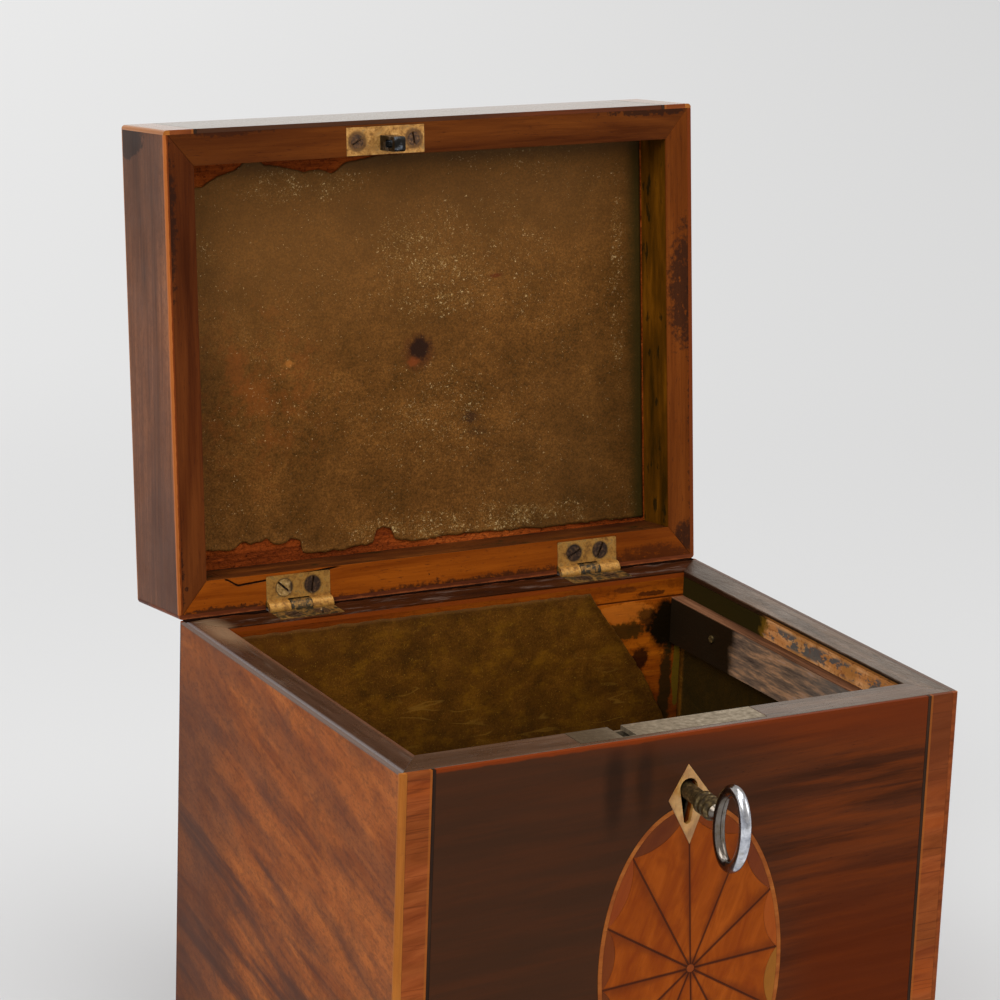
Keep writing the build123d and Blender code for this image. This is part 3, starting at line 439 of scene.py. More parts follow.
def fanInlay():
    petal = dict(polish, dark="762f08", mid="8a3f0a", light="9c4b10", pore="602406", figure=5.0, draw=0.4,
                 fibre=0.35, pores=0.25, turn=(0, math.radians(70), 0))
    m = wood("petalWood", petal)
    count, across, reach = fanCoordinates(m)
    which = calc(m, "FLOOR", count)
    vary = addNode(m, "TexWhiteNoise", {"W": which}, noise_dimensions="1D").outputs["Value"]
    tint(m, vary, "803506", 0.4)
    wobble = timesPlus(m, cloud(m, 3.0, 3), 0.22, minus(m, across, 0.11))
    tint(m, ease(m, wobble, 0.7, 1.02, 0.0, 0.7), fan["shade"])
    tint(m, ease(m, wobble, 0.12, 0.0, 0.0, 0.35), fan["shade"])
    wide = timesPlus(m, cloud(m, 2.0, 3), 1.2, reach)
    tint(m, ease(m, wide, fan["ring"] + 1.4, fan["ring"] - 1.2, 0.0, 0.7), "4a1d09")
    side = calc(m, "MINIMUM", across, minus(m, 1.0, across))
    gap = times(m, times(m, side, math.tau / fan["petals"]), reach)
    tint(m, ease(m, gap, 0.45, 0.12, 0.0, 0.8), "38170b")
    paint(["patera_petals"], woodSurface(m))
    eye = dict(petal, mid="7c3a17", light="8f4a20")
    paint(["patera_eye"], woodSurface(wood("eyeWood", eye)))

    segment = dict(petal, pores=0.4, fibre=0.5)
    m = wood("segmentWood", segment)
    count = fanCoordinates(m)[0]
    # from the top, clockwise
    tints = ("6a2f14", "57281a", "944618", "8a5c22", "6d4018", "8a3f18",
             "5b2a14", "a55a22", "3c1f14", "5a2a15", "7a3517", "4a2516")
    places = [(i / fan["petals"], code) for i, code in enumerate(tints)]
    stained = stops(m, calc(m, "DIVIDE", count, fan["petals"]), places, "CONSTANT")
    m["colour"] = mixed(m, fan["stain"], m["colour"], stained)
    paint(["patera_segments"], woodSurface(m))

    line = dict(polish, dark="85441a", mid="995522", light="aa672e", pore="5a2e12", figure=4.0, fibre=0.4)
    m = wood("pateraBorderWood", line)
    tint(m, ease(m, cloud(m, 8.0, 3), 0.4, 0.65, 0.0, 0.6), "7c3d1a")
    paint(["patera_border"], woodSurface(m))


fanInlay()


def boneEscutcheon():
    m = newMaterial("agedBone")
    low, high = ownBox("escutcheon")
    yellowing = cloud(m, 3.5, 4, 0.6)
    m["colour"] = stops(m, yellowing, [(0.3, "8c5c26"), (0.5, "b28041"), (0.72, "c89b5c")])
    fleck = cloud(m, 0.35, 3, 0.6, stretch=(1, 1, 0.12))
    tint(m, ease(m, fleck, 0.6, 0.75), "8a6330")
    keyholeZ = (low.z + high.z) / 2 + 2.0
    edge = calc(m, "DIVIDE", calc(m, "ABSOLUTE", m["x"]), (high.x - low.x) / 2)
    rise = calc(m, "DIVIDE", apart(m, m["z"], keyholeZ), (high.z - low.z) / 2)
    tint(m, ease(m, calc(m, "ADD", edge, rise), 0.9, 1.06), "6a4216", 0.4)
    gloss = {"Subsurface_Weight": 0.1, "Subsurface_Scale": 0.001, "Coat_Weight": 0.3, "Coat_Roughness": 0.15}
    paint(["escutcheon"], surface(m, ease(m, yellowing, 0.3, 0.7, 0.28, 0.45), fleck, 0.04, **gloss))


boneEscutcheon()
print("inlay done")


# Rim of the case, and the bare wood inside it

turned = {"front": 0, "back": 0, "left": acrossBox, "right": acrossBox}


def caseRim():
    rim = {"pore": "1a120e", "figure": 5.0, "draw": 0.1, "fibre": 0.8, "pores": 0.55, "depth": 0.1,
           "rough": (0.22, 0.36), "shine": 0.4, "coat": 0.42, "coatRough": 0.16}
    looks = {
        "front": dict(rim, dark="35261c", mid="4c3628", light="634a39", inner="3b2618"),
        "left": dict(rim, dark="2a1b15", mid="3b281f", light="4d372b", inner="5a3018"),
        "right": dict(rim, dark="30231a", mid="4a392c", light="685242", inner="1a110a", rough=(0.3, 0.5)),
        "back": dict(rim, dark="230e05", mid="321606", light="421e0a", inner="80380d", rough=(0.5, 0.6),
                     coat=0.0, shine=0.06),
    }
    for side, look in looks.items():
        look["turn"] = (0, 0, turned[side])
        m = wood(side + "RimWood", look)
        low, high = ownBox(side + "_capping")
        worn = ease(m, cloud(m, 2.2, 5, 0.7, grain=(0.15, 1, 1)), 0.52, 0.7)
        smooth = side in ("left", "front")
        tint(m, times(m, worn, 0.2 if smooth else 0.45), "7b6b60")
        if side == "left":  # a painted highlight along the outer arris, and a paler rubbed one along the inner
            tint(m, fade(m, "x", low.x + 1.3, low.x + 0.4, 0.9), "767070")
            tint(m, fade(m, "x", high.x - 1.4, high.x - 0.6, 0.6), "6b4430")
        if side in ("left", "back"):  # rubbed pale about their corner
            pale = blotch(m, (caseLow.x + 6.6, caseHigh.y - 13.0, rimZ), (3.6, 11.0, 9), 0.15, 4, 0.85)
            tint(m, pale, "8a7055", 0.75)
        if side == "front":  # darker towards the left corner
            tint(m, fade(m, "x", -20.0, -60.0, 0.5), "36241a")
        if side == "right":  # and at the far end of the right one
            tint(m, fade(m, "y", 15.0, 55.0, 0.75), "2a1e16")
            look["coat"] = ease(m, m["y"], 5.0, 50.0, look["coat"], 0.2)
        drop = minus(m, rimZ, m["z"])
        # the inner face's own colour, but on the right one a painted shade: a shadow line under the top and
        # dark shade towards the back
        tint(m, ease(m, drop, 0.25, 0.5), look["inner"])
        if side == "right":  # only a thin line of painted shadow at the top, then the same ochre wood as the wall below, towards the front; further back the painted shade stays
            ochre = times(m, ease(m, drop, 0.8, 1.0), fade(m, "y", 14.0, 9.0, 0.9))
            tint(m, ochre, "9a6430")
        height = times(m, cloud(m, 4.5, 4, 0.6), 0.7 if smooth else 1.5)
        if side == "right":  # coarse open grain, like a worn board
            knocks = cloud(m, 1.5, 4, 0.7, grain=(0.5, 1, 1))
            height = timesPlus(m, knocks, 3.0, height)
            tint(m, ease(m, knocks, 0.44, 0.34, 0.0, 0.6), "1f1612")
        paint([side + "_capping"], woodSurface(m, height))


caseRim()

bareLook = {"dark": "662c0a", "mid": "8c420f", "light": "b05d1c", "pore": "471e07", "figure": 7.0,
            "draw": 0.12, "rough": (0.55, 0.75), "depth": 0.1, "pores": 0.4, "shine": 0.04}


def bareWalls():
    m = wood("backBareWood", dict(bareLook, dark="74300a", mid="96450a", light="b86010"))
    tint(m, ease(m, cloud(m, 3.0, 5, 0.7), 0.5, 0.66, 0.0, 0.55), "5e2a06")
    tint(m, fade(m, "z", rimZ - 5.5, rimZ - 3.0, 0.5), "5a2706")
    wallY = 52.0
    bright = blotch(m, (51.0, wallY, 114.8), (9.5, through, 3.0), 0.25, 3)
    tint(m, bright, "cc7224", 0.55)
    marks = (  # the middle of each, its half width and height, its tone, how ragged it is and how strong
        (51.5, 109.6, 6.6, 2.9, "33260a", 0.5, 0.85),
        (58.0, 113.0, 3.0, 3.2, "2b1d0a", 0.5, 0.8),
        (65.0, 110.0, 6.6, 7.6, "150d03", 0.2, 1.0),
        (56.0, 101.0, 2.7, 3.2, "1c0b06", 0.35, 0.9),
        (64.6, 93.0, 2.0, 12.0, "2a220c", 0.45, 0.9),
        (58.6, 119.8, 4.0, 0.8, "3a1a0a", 0.6, 0.8),
        (51.0, 121.6, 4.0, 0.7, "4a220d", 0.6, 0.6),
        (72.0, 96.0, 2.6, 22.0, "1d1a09", 0.2, 1.0),
    )
    for x, z, wide, high, code, ragged, strength in marks:
        tint(m, blotch(m, (x, wallY, z), (wide, through, high), ragged, 2.2, 0.22), code, strength)
    strip = blotch(m, (68.2, wallY, 95.5), (1.3, through, 9.5), 0.25, 2.0)
    tint(m, strip, "6f6018", 0.8)
    seam = apart(m, m["z"], rimZ - 6.8)
    tint(m, ease(m, seam, 0.3, 0.1, 0.0, 0.8), "40190b")
    # painted shade, darker deep down in the box
    tint(m, fade(m, "z", rimZ - 20.0, rimZ - 60.0, 0.85), "171206")
    paint(["back_wall"], woodSurface(m, ease(m, seam, 0.1, 0.35, 0.0, 2.0)))

    for side in ("right", "left"):
        look = dict(bareLook, dark="a0622c", mid="c88850", light="e2ae78", turn=(0, 0, acrossBox), figure=5.0)
        m = wood(side + "BareWood", look)
        tint(m, ease(m, cloud(m, 6.0, 4, 0.6), 0.44, 0.6, 0.0, 0.6), "a06a30")
        flakes = ease(m, cloud(m, 3.6, 6, 0.7, stretch=(1, 0.4, 0.8)), 0.49, 0.54)
        belt = ease(m, apart(m, m["z"], rimZ - 4.4), 2.6, 1.4)
        tint(m, times(m, flakes, times(m, belt, 0.9)), "4a5152")
        tint(m, ease(m, cloud(m, 1.8, 4, 0.6), 0.56, 0.66, 0.0, 0.6), "7b4524")
        # painted shade towards the back corner, olive and then dark
        ragged = timesPlus(m, cloud(m, 5.0, 4, 0.6), 14.0, m["y"])
        tint(m, ease(m, ragged, 16.5, 18.5), "6a4c14")
        tint(m, ease(m, ragged, 18.5, 21.5), "2a220b")
        paint([side + "_wall"], woodSurface(m))

    m = wood("frontBareWood", bareLook)
    tint(m, ease(m, cloud(m, 9.0, 4, 0.6), 0.42, 0.62), "2b1a0a", 0.7)
    paint(["front_wall", "base_board"], woodSurface(m))


bareWalls()


def battens():
    for side in ("right", "left"):
        look = {"dark": "3f2618", "mid": "6c462f", "light": "8c6246", "pore": "24160f", "figure": 4.0,
                "draw": 0.06, "turn": (0, 0, acrossBox), "rough": (0.45, 0.65), "depth": 0.1, "fibre": 0.8,
                "shine": 0.15}
        m = wood(side + "BattenWood", look)
        topZ = ownBox(side + "_batten")[1].z
        topColour = m["colour"]
        streaky = cloud(m, 2.0, 5, 0.72, grain=(0.14, 1, 1))
        greys = [(0.3, "3a302c"), (0.48, "76604f"), (0.6, "b08460"), (0.74, "9a9496")]
        m["colour"] = stops(m, streaky, greys)
        # a painted grey sheen towards the front
        tint(m, fade(m, "y", -5.0, -35.0, 0.6), "62605c")
        # painted shade towards the back
        ragged = timesPlus(m, cloud(m, 6.0, 4), 8.0, m["y"])
        tint(m, ease(m, ragged, 22.0, 27.0), "1c1309")
        below = fade(m, "z", topZ - 0.1, topZ - 0.4)
        m["colour"] = mixed(m, below, topColour, m["colour"])
        paint([side + "_batten"], woodSurface(m))


battens()
print("inside woods done")


# The lid's rails and board, with their stains and the split by the left hinge

def lidWoods():
    tints = {
        "front": ("401b07", "572a0d", "6c3812"),
        "back": ("6c2e06", "86400c", "9e5010"),
        "left": ("3b1808", "50250e", "653314"),
        "right": ("4a2007", "64300d", "7b3f14"),
    }
    ink = {  # the middle of each stain, its half sizes and how ragged it is
        "front": ((-61, -62.6, 10, 1.3, 0.7), (66, -61.9, 13, 1.1, 0.9)),
        "back": ((-66, 62.6, 16, 1.3, 0.6), (20, 64.0, 60, 2.8, 0.45), (66, 63.2, 16, 4.6, 0.4)),
        "left": ((-78.2, -40, 2.4, 19, 0.6), (-78.4, 52, 1.5, 12, 0.6), (-76.0, 55.5, 0.6, 0.6, 0.2)),
        "right": ((77.5, -13, 6.4, 16, 0.45), (78.6, 20, 1.4, 50, 0.8), (76, 57, 4, 4, 0.4)),
    }
    for side, (dark, mid, light) in tints.items():
        look = {"dark": dark, "mid": mid, "light": light, "pore": "35150a", "figure": 8.0, "draw": 0.1,
                "fibre": 0.5, "turn": (0, 0, turned[side]), "rough": (0.36, 0.5), "depth": 0.06,
                "shine": 0.04}
        m = wood("lid" + side.capitalize() + "Rail", look, "lid")
        for x, y, wide, deep, ragged in ink[side]:
            stain = blotch(m, (x, y, lidLow.z), (wide, deep, through), ragged, 1.5, 0.25)
            veins = ease(m, cloud(m, 1.0, 4, 0.6, grain=(0.5, 1, 1)), 0.68, 0.58)
            tint(m, times(m, stain, times(m, veins, 0.8)), "25150f")
        tint(m, ease(m, cloud(m, 0.8, 2), 0.74, 0.8), "2a140a")
        if side == "front":
            tint(m, fade(m, "x", -25.0, -55.0, 0.45), "3c1a0a")
        if side == "back":
            tint(m, fade(m, "x", 15.0, 50.0, 0.5), "5a2708")
        height = times(m, cloud(m, 5.0, 3), 1.2)
        if side == "back":  # a sliver has split away along the inner edge
            rise = fade(m, "x", -65.2, -61.0)
            fall = addNode(m, "MapRange", {0: m["x"], 1: -61.0, 2: -31.5, 3: 1.0, 4: 0.0}).outputs[0]
            path = timesPlus(m, times(m, rise, fall), 1.9, recess["back"] + 0.35)
            path = timesPlus(m, cloud(m, 6.0, 3), 0.5, path)
            off = apart(m, m["y"], path)
            run = times(m, fade(m, "x", -65.4, -64.8), fade(m, "x", -30.5, -34.0))
            split = times(m, ease(m, off, 0.34, 0.12), run)
            tint(m, split, "120804")
            height = timesPlus(m, split, -6.0, height)
        inside = fade(m, "z", lidLow.z + 0.15, lidLow.z + 0.5)
        faceColour = m["colour"]
        shades = [(0.35, "372204"), (0.55, "5c3606"), (0.72, "7e4c0c")]
        if side == "back":
            shades = [(0.35, "33170a"), (0.55, "4a250d"), (0.72, "643411")]
        m["colour"] = stops(m, cloud(m, 5.0, 4, 0.6, grain=(0.2, 1, 1)), shades)
        tint(m, ease(m, cloud(m, 3.5, 4, 0.6, grain=(0.4, 1, 1)), 0.58, 0.64), "141608", 0.8)
        m["colour"] = mixed(m, inside, faceColour, m["colour"])
        paint(["lid_" + side + "_rail"], woodSurface(m, height))

    look = dict(bareLook, dark="6a2c0e", mid="9a4517", light="bd6226", figure=5.0, depth=0.3)
    m = wood("lidBoardWood", look, "lid")
    crumbs = cloud(m, 1.4, 5, 0.7)
    tint(m, ease(m, crumbs, 0.5, 0.7, 0.0, 0.85), "481a0a")
    tint(m, blotch(m, (0, 0, recess["top"]), (1.9, 1.9, 30), 0.15, 1.0), "120704")
    paint(["lid_top_board"], woodSurface(m, times(m, crumbs, 4.0)))


lidWoods()
print("lid woods done")


# Metal paper. The sheets on the lid and the walls are made here, because they are torn and creased

def foilMaterial(name, body, look):
    m = newMaterial(name, body)
    shades = [(0.32, look["dark"]), (0.5, look["mid"]), (0.7, look["light"])]
    base = stops(m, cloud(m, look["patch"], 5, 0.6, 0.3), shades)
    m["weave"] = cloud(m, 0.55, 4, 0.75)
    shade = ease(m, m["weave"], 0.32, 0.68, 1 - look["grain"], 1 + look["grain"])
    worn = ease(m, cloud(m, 2.0, 5, 0.7, stretch=(0.6, 1, 1)), 0.3, 0.7, 0.84, 1.16)
    shade = times(m, shade, worn)
    m["colour"] = addNode(m, "VectorMath", {0: base, "Scale": shade}, operation="SCALE").outputs[0]
    return m


def specks(m, density, size, sharp=0.035):
    dots = cloud(m, size, 3, 0.7)
    limit = minus(m, 0.74, times(m, density, 0.2))
    return ease(m, minus(m, dots, limit), 0.0, sharp)


def foilFinish(m, rough, depth):
    rough = ease(m, m["weave"], 0.3, 0.7, *rough)
    return surface(m, rough, m["weave"], depth, Specular_IOR_Level=0.12, Specular_Tint=(1.0, 0.8, 0.5, 1.0))


def lidFoilMaterial():
    look = {"dark": "523210", "mid": "613c16", "light": "6f461b", "patch": 14.0, "grain": 0.42}
    m = foilMaterial("lidFoilPaper", "lid", look)

    def patch(x, y, wide, deep, *way):
        return blotch(m, (x, y, recess["top"]), (wide, deep, foilThrough), *way)

    warm = ease(m, cloud(m, 4.0, 5, 0.65), 0.46, 0.64)
    tint(m, times(m, warm, patch(-48, 6, 20, 24, 0.3, 12, 0.5)), "7d4015", 0.4)
    tint(m, ease(m, timesPlus(m, m["x"], 0.2, m["y"]), 10.0, -45.0, 0.0, 0.5), "785026")
    rubbed = (
        (-38.9, 0.8, 1.2, 1.0, "a9682a", 0.7),
        (-49.5, 7.5, 4.4, 3.0, "824618", 0.45),
        (-47.0, 12.0, 3.4, 2.6, "86481a", 0.45),
        (-54.5, 1.0, 2.6, 5.0, "84451a", 0.4),
        (15.4, 19.5, 2.4, 1.6, "2c1710", 0.7),
        (17.0, 24.0, 4.0, 1.2, "3a2412", 0.35),
        (24.0, -18.6, 1.9, 0.5, "5a1e10", 0.7),
    )
    for x, y, wide, deep, code, strength in rubbed:
        tint(m, patch(x, y, wide, deep, 0.6, 1.3, 0.5), code, strength)
    # worn specks: everywhere a few, and many in the patches listed, thinned out by a finer cloud
    worn = (
        (4.0, -22.0, 20.0, 20.0, 0.8),
        (27.0, -20.0, 20.0, 22.0, 0.6),
        (-36.0, -46.0, 24.0, 6.0, 0.75),
        (34.0, -50.0, 26.0, 6.0, 0.6),
        (7.0, 18.0, 24.0, 17.0, 0.65),
        (18.0, 48.5, 48.0, 4.5, 1.0),
        (-62.0, -31.0, 4.0, 5.0, 0.7),
        (recess["right"] - 7.5, -12.0, 3.2, 40.0, 0.75),
        (-44.0, 12.0, 12.0, 10.0, 0.35),
    )
    density = ease(m, cloud(m, 20.0, 3), 0.3, 0.7, 0.35, 0.65)
    for x, y, wide, deep, strength in worn:
        there = times(m, patch(x, y, wide, deep, 0.35, 9.0, 0.6), strength + 0.17)
        density = calc(m, "MAXIMUM", density, there)
    density = times(m, density, ease(m, cloud(m, 5.0, 5, 0.7), 0.34, 0.6, 0.6, 1.0))
    tint(m, specks(m, density, 0.6, 0.09), "8f6a36", 0.65)
    tint(m, specks(m, times(m, density, 0.92), 0.4, 0.06), "b08c50", 0.5)
    tint(m, specks(m, times(m, density, 0.7), 0.75), "d4b67e", 0.7)
    # dimmer at the upper right, green by the right rail, and a painted shadow cast by the front rail
    tint(m, ease(m, timesPlus(m, m["y"], 0.7, m["x"]), 35.0, 80.0, 0.0, 0.35), "3e280e")
    tint(m, fade(m, "x", recess["right"] - 6.0, recess["right"] - 1.0, 0.8), "2c280c")
    tint(m, fade(m, "y", recess["front"] + 6.0, recess["front"] + 1.0, 0.55), "3a2a1a")
    # the hole at the middle, with a rag of wood in it
    tint(m, patch(-0.3, 0.8, 4.4, 4.4, 0.3, 1.5, 0.4), "461d0e", 0.6)
    tint(m, patch(0.2, -0.3, 3.0, 2.9, 0.3, 1.5, 0.3), "1f0f0c", 0.9)
    tint(m, patch(-2.0, 3.2, 1.7, 1.2, 0.5, 1.2, 0.5), "86401a", 0.6)
    return foilFinish(m, (0.5, 0.7), 0.16)


def caseFoilMaterial():
    look = {"dark": "482a09", "mid": "58340b", "light": "6c420f", "patch": 9.0, "grain": 0.3}
    m = foilMaterial("caseFoilPaper", "case", look)
    gilt = cloud(m, 6.0, 6, 0.75, stretch=(0.7, 1, 1))
    tint(m, ease(m, gilt, 0.46, 0.72, 0.0, 0.6), "85560e")
    tint(m, fade(m, "x", -30.0, -62.0, 0.5), "5a300c")
    tint(m, specks(m, 0.6, 0.5, 0.07), "a87a24", 0.5)
    # painted shade, darker deep down in the box
    tint(m, fade(m, "z", 104.0, 60.0, 0.5), "261a06")
    # painted highlights along a few fold crests
    foldHighlight = cloud(m, 6.0, 2, 0.5, 0.2, stretch=(0.2, 0.2, 1))
    foldHighlight = ease(m, apart(m, foldHighlight, 0.55), 0.02, 0.002, 0.0, 0.3)
    few = ease(m, cloud(m, 17.0, 2), 0.5, 0.62)
    few = times(m, few, fade(m, "z", 110.0, 102.0))
    tint(m, times(m, foldHighlight, few), "a0742a")
    high = ownBox("wall_linings")[1]
    tint(m, fade(m, "z", high.z - 3.0, high.z - 0.4, 0.55), "3a2008")
    # the sheets at the sides and the front have darkened to olive
    tint(m, fade(m, "y", high.y - 1.5, high.y - 3.0, 0.85), "1f1a08")
    return foilFinish(m, (0.45, 0.65), 0.12)


def newPiece(name, bm):
    mesh = bpy.data.meshes.new(name)
    bm.to_mesh(mesh)
    bm.free()
    made = bpy.data.objects.new(name, mesh)
    bpy.context.scene.collection.objects.link(made)
    return made


foil = {"thickness": 0.2, "lidCells": (260, 150), "backCells": (150, 110), "plainCells": (60, 50),
        "run": 140.0, "lift": 0.12, "ripple": 0.06, "curl": 0.35, "hole": 4.0, "sink": 0.1,
        "crease": 0.22, "tornCurl": 0.5, "tornWidth": 1.5}


def sheet(name, cells, place):
    # a grid whose lower left is 0,0 and whose upper right is 1,1, laid by place and thickened
    bm = bmesh.new()
    bmesh.ops.create_grid(bm, x_segments=cells[0], y_segments=cells[1], size=0.5)
    for v in bm.verts:
        v.co = place(v.co.x + 0.5, v.co.y + 0.5)
    bmesh.ops.recalc_face_normals(bm, faces=bm.faces)
    bmesh.ops.solidify(bm, geom=bm.faces[:], thickness=foil["thickness"] * mm)
    made = newPiece(name, bm)
    made.data.shade_smooth()
    return made


def wander(a, b, size, seed):  # smooth noise from -1 to 1
    return noise.noise(Vector((a / size, b / size, seed)))


def lidFoil():
    # edges are ragged, and the corners by the link plate and the left hinge are peeled off
    frontTear = ((-72, 6.2), (-62.9, 6.4), (-60, 4.4), (-52.8, 2.2), (-50.5, 0.4), (-46.5, 0.3), (-44.9, 1.4),
                 (-39, 2.4), (-34, 3.8), (-29, 3.6), (-25.2, 4.8), (-22.5, 3.0), (-20.7, 1.9), (-14, 1.2),
                 (-10, 0.25), (72, 0.2))
    backTear = ((-72, 4.2), (-62.9, 5.0), (-58, 4.2), (-54, 6.2), (-51.8, 5.4), (-47, 6.4), (-44, 4.2),
                (-40, 5.6), (-37.1, 5.0), (-36.4, 1.4), (-30, 1.0), (-24, 1.2), (-15.4, 2.0), (-14.6, 5.4),
                (-12, 6.0), (-10, 5.6), (-8.6, 2.2), (-4, 1.2), (8, 1.8), (26, 1.3), (38, 1.0), (72, 0.8))

    def tear(outline, x):
        for (xA, a), (xB, b) in zip(outline, outline[1:]):
            if xA <= x <= xB:
                return a + (b - a) * (x - xA) / (xB - xA)
        return outline[-1][1]

    def place(u, v):
        x = recess["left"] + u * (recess["right"] - recess["left"])
        front = recess["front"] + max(0.1, tear(frontTear, x) + 0.35 * wander(x, 0, 1.9, 3.1))
        back = recess["back"] - max(0.1, tear(backTear, x) + 0.45 * wander(x, 9, 1.6, 7.7))
        y = front + v * (back - front)
        left = recess["left"] + 0.25 + 0.15 * wander(y, 0, 3, 5.5)
        right = recess["right"] - 0.15
        x = left + u * (right - left)
        lift = foil["lift"] + foil["lift"] * wander(x, y, 14, 2.0)
        lift += foil["ripple"] * abs(wander(x, y, 3.5, 8.0))
        lift += foil["curl"] * max(0.0, 1 - min(v, 1 - v) * 60) * (0.5 + wander(x, y, 4, 1.0))
        fall = math.hypot(x, y)
        if fall < foil["hole"]:
            lift -= foil["sink"] * (foil["hole"] - fall) / foil["hole"]
        return toOpen(Vector((x, y, recess["top"] - max(0.02, lift))) * mm)

    made = sheet("lidFoil", foil["lidCells"], place)
    made.data.materials.append(lidFoilMaterial())
    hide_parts("lid_lining")
    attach(made, "lid")


def caseFoils():
    # four sheets glued to the walls. The one at the back is torn away slantwise at its right
    low, high = ownBox("wall_linings")
    tear = ((0.0, 52.0), (5.0, 39.0), (12.0, 26.0), (20.4, 14.1), (28.1, 4.1), (30.5, 0.0))
    foilMat = caseFoilMaterial()

    def tornEdge(z):
        down = high.z - z
        for (inA, downA), (inB, downB) in zip(tear, tear[1:]):
            if downB <= down <= downA:
                return high.x - inA - (inB - inA) * (downA - down) / (downA - downB)
        return high.x

    def back(u, v):
        z = low.z + v * (high.z - low.z - 0.5 + 0.4 * wander(u * foil["run"], 0, 5, 2.2))
        edge = tornEdge(z)
        if edge < high.x:
            edge += 0.5 * wander(z, 0, 2.0, 4.0)
        x = low.x + u * (edge - low.x)
        crease = foil["crease"] * max(0.0, 0.2 - abs(wander(x * 0.25, z, 9, 3.3))) * 5
        crease *= max(0.0, wander(x, z, 30, 6.0) + 0.3)
        curl = 0.0
        if edge < high.x - 0.1:
            curl = foil["tornCurl"] * max(0.0, 1 - (edge - x) / foil["tornWidth"])
        return Vector((x, high.y - 0.1 - 0.12 * (1 + wander(x, z, 16, 1.7)) - crease - curl, z)) * mm

    def front(u, v):
        top = frontTop + 0.3 * wander(u * foil["run"], 0, 4, 6.0)
        x, z = low.x + u * (high.x - low.x), low.z + v * (top - low.z)
        return Vector((x, low.y + 0.05 + 0.15 * (1 + wander(x, z, 12, 5.1)), z)) * mm

    def flank(sign):
        def place(u, v):
            y = low.y + u * (high.y - low.y)
            z = low.z + v * (sideTop - low.z)
            edge = high.x + 0.25 if sign > 0 else low.x - 0.25
            return Vector((edge - sign * (0.08 + 0.15 * (1 + wander(y, z, 12, 9.1 + sign))), y, z)) * mm
        return place

    frontTop = ownBox("lock_plate")[0].z - 0.4
    sideTop = ownBox("right_batten")[0].z - 0.2
    for name, place, cells in (
        ("backFoil", back, foil["backCells"]),
        ("frontFoil", front, foil["plainCells"]),
        ("rightFoil", flank(1), foil["plainCells"]),
        ("leftFoil", flank(-1), foil["plainCells"]),
    ):
        made = sheet(name, cells, place)
        made.data.materials.append(foilMat)
        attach(made, "case")
    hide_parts("wall_linings")
    paint(["base_lining"], foilMat)


lidFoil()
caseFoils()
print("metal paper done")


# Metals

def metal(name, body, look):
    m = newMaterial(name, body)
    m["look"] = look
    m["cast"] = cloud(m, look.get("size", 1.6), 5, 0.65)
    m["colour"] = stops(m, m["cast"], [(0.32, look["dark"]), (0.52, look["mid"]), (0.7, look["light"])])
    return m


def metalSurface(m):
    look = m["look"]
    scratch = cloud(m, 0.25, 3, 0.6, stretch=(0.1, 1, 1), turn=(0.3, 0.2, 0.6))
    rough = ease(m, m["cast"], 0.3, 0.7, *reversed(look["rough"]))
    height = timesPlus(m, scratch, 0.3, m["cast"])
    return surface(m, rough, height, look.get("depth", 0.06), Metallic=look["metal"])


def plainMetal(names, name, look, body="case"):
    paint(names, metalSurface(metal(name, body, look)))


brassLook = {"dark": "6e4716", "mid": "a87730", "light": "d6a355", "rough": (0.4, 0.6), "metal": 0.5}
ironLook = {"rough": (0.35, 0.6), "metal": 0.6, "size": 0.9}


def screwSpots(name):  # the middle of each screw's head, in the lid's own mm
    points = sorted((toShut(v.co) / mm for v in nodes[name].data.vertices), key=lambda p: p.x)
    heads = []
    for p in points:
        if not heads or p.x - heads[-1][-1].x > 1.0:
            heads.append([])
        heads[-1].append(p)
    return [(min(h, key=lambda p: p.x) + max(h, key=lambda p: p.x)) / 2 for h in heads]


def nearSpot(m, spot):  # distance from a spot, seen from below
    aside = minus(m, m["x"], spot.x)
    behind = minus(m, m["y"], spot.y)
    squares = calc(m, "ADD", times(m, aside, aside), times(m, behind, behind))
    return calc(m, "SQRT", squares)


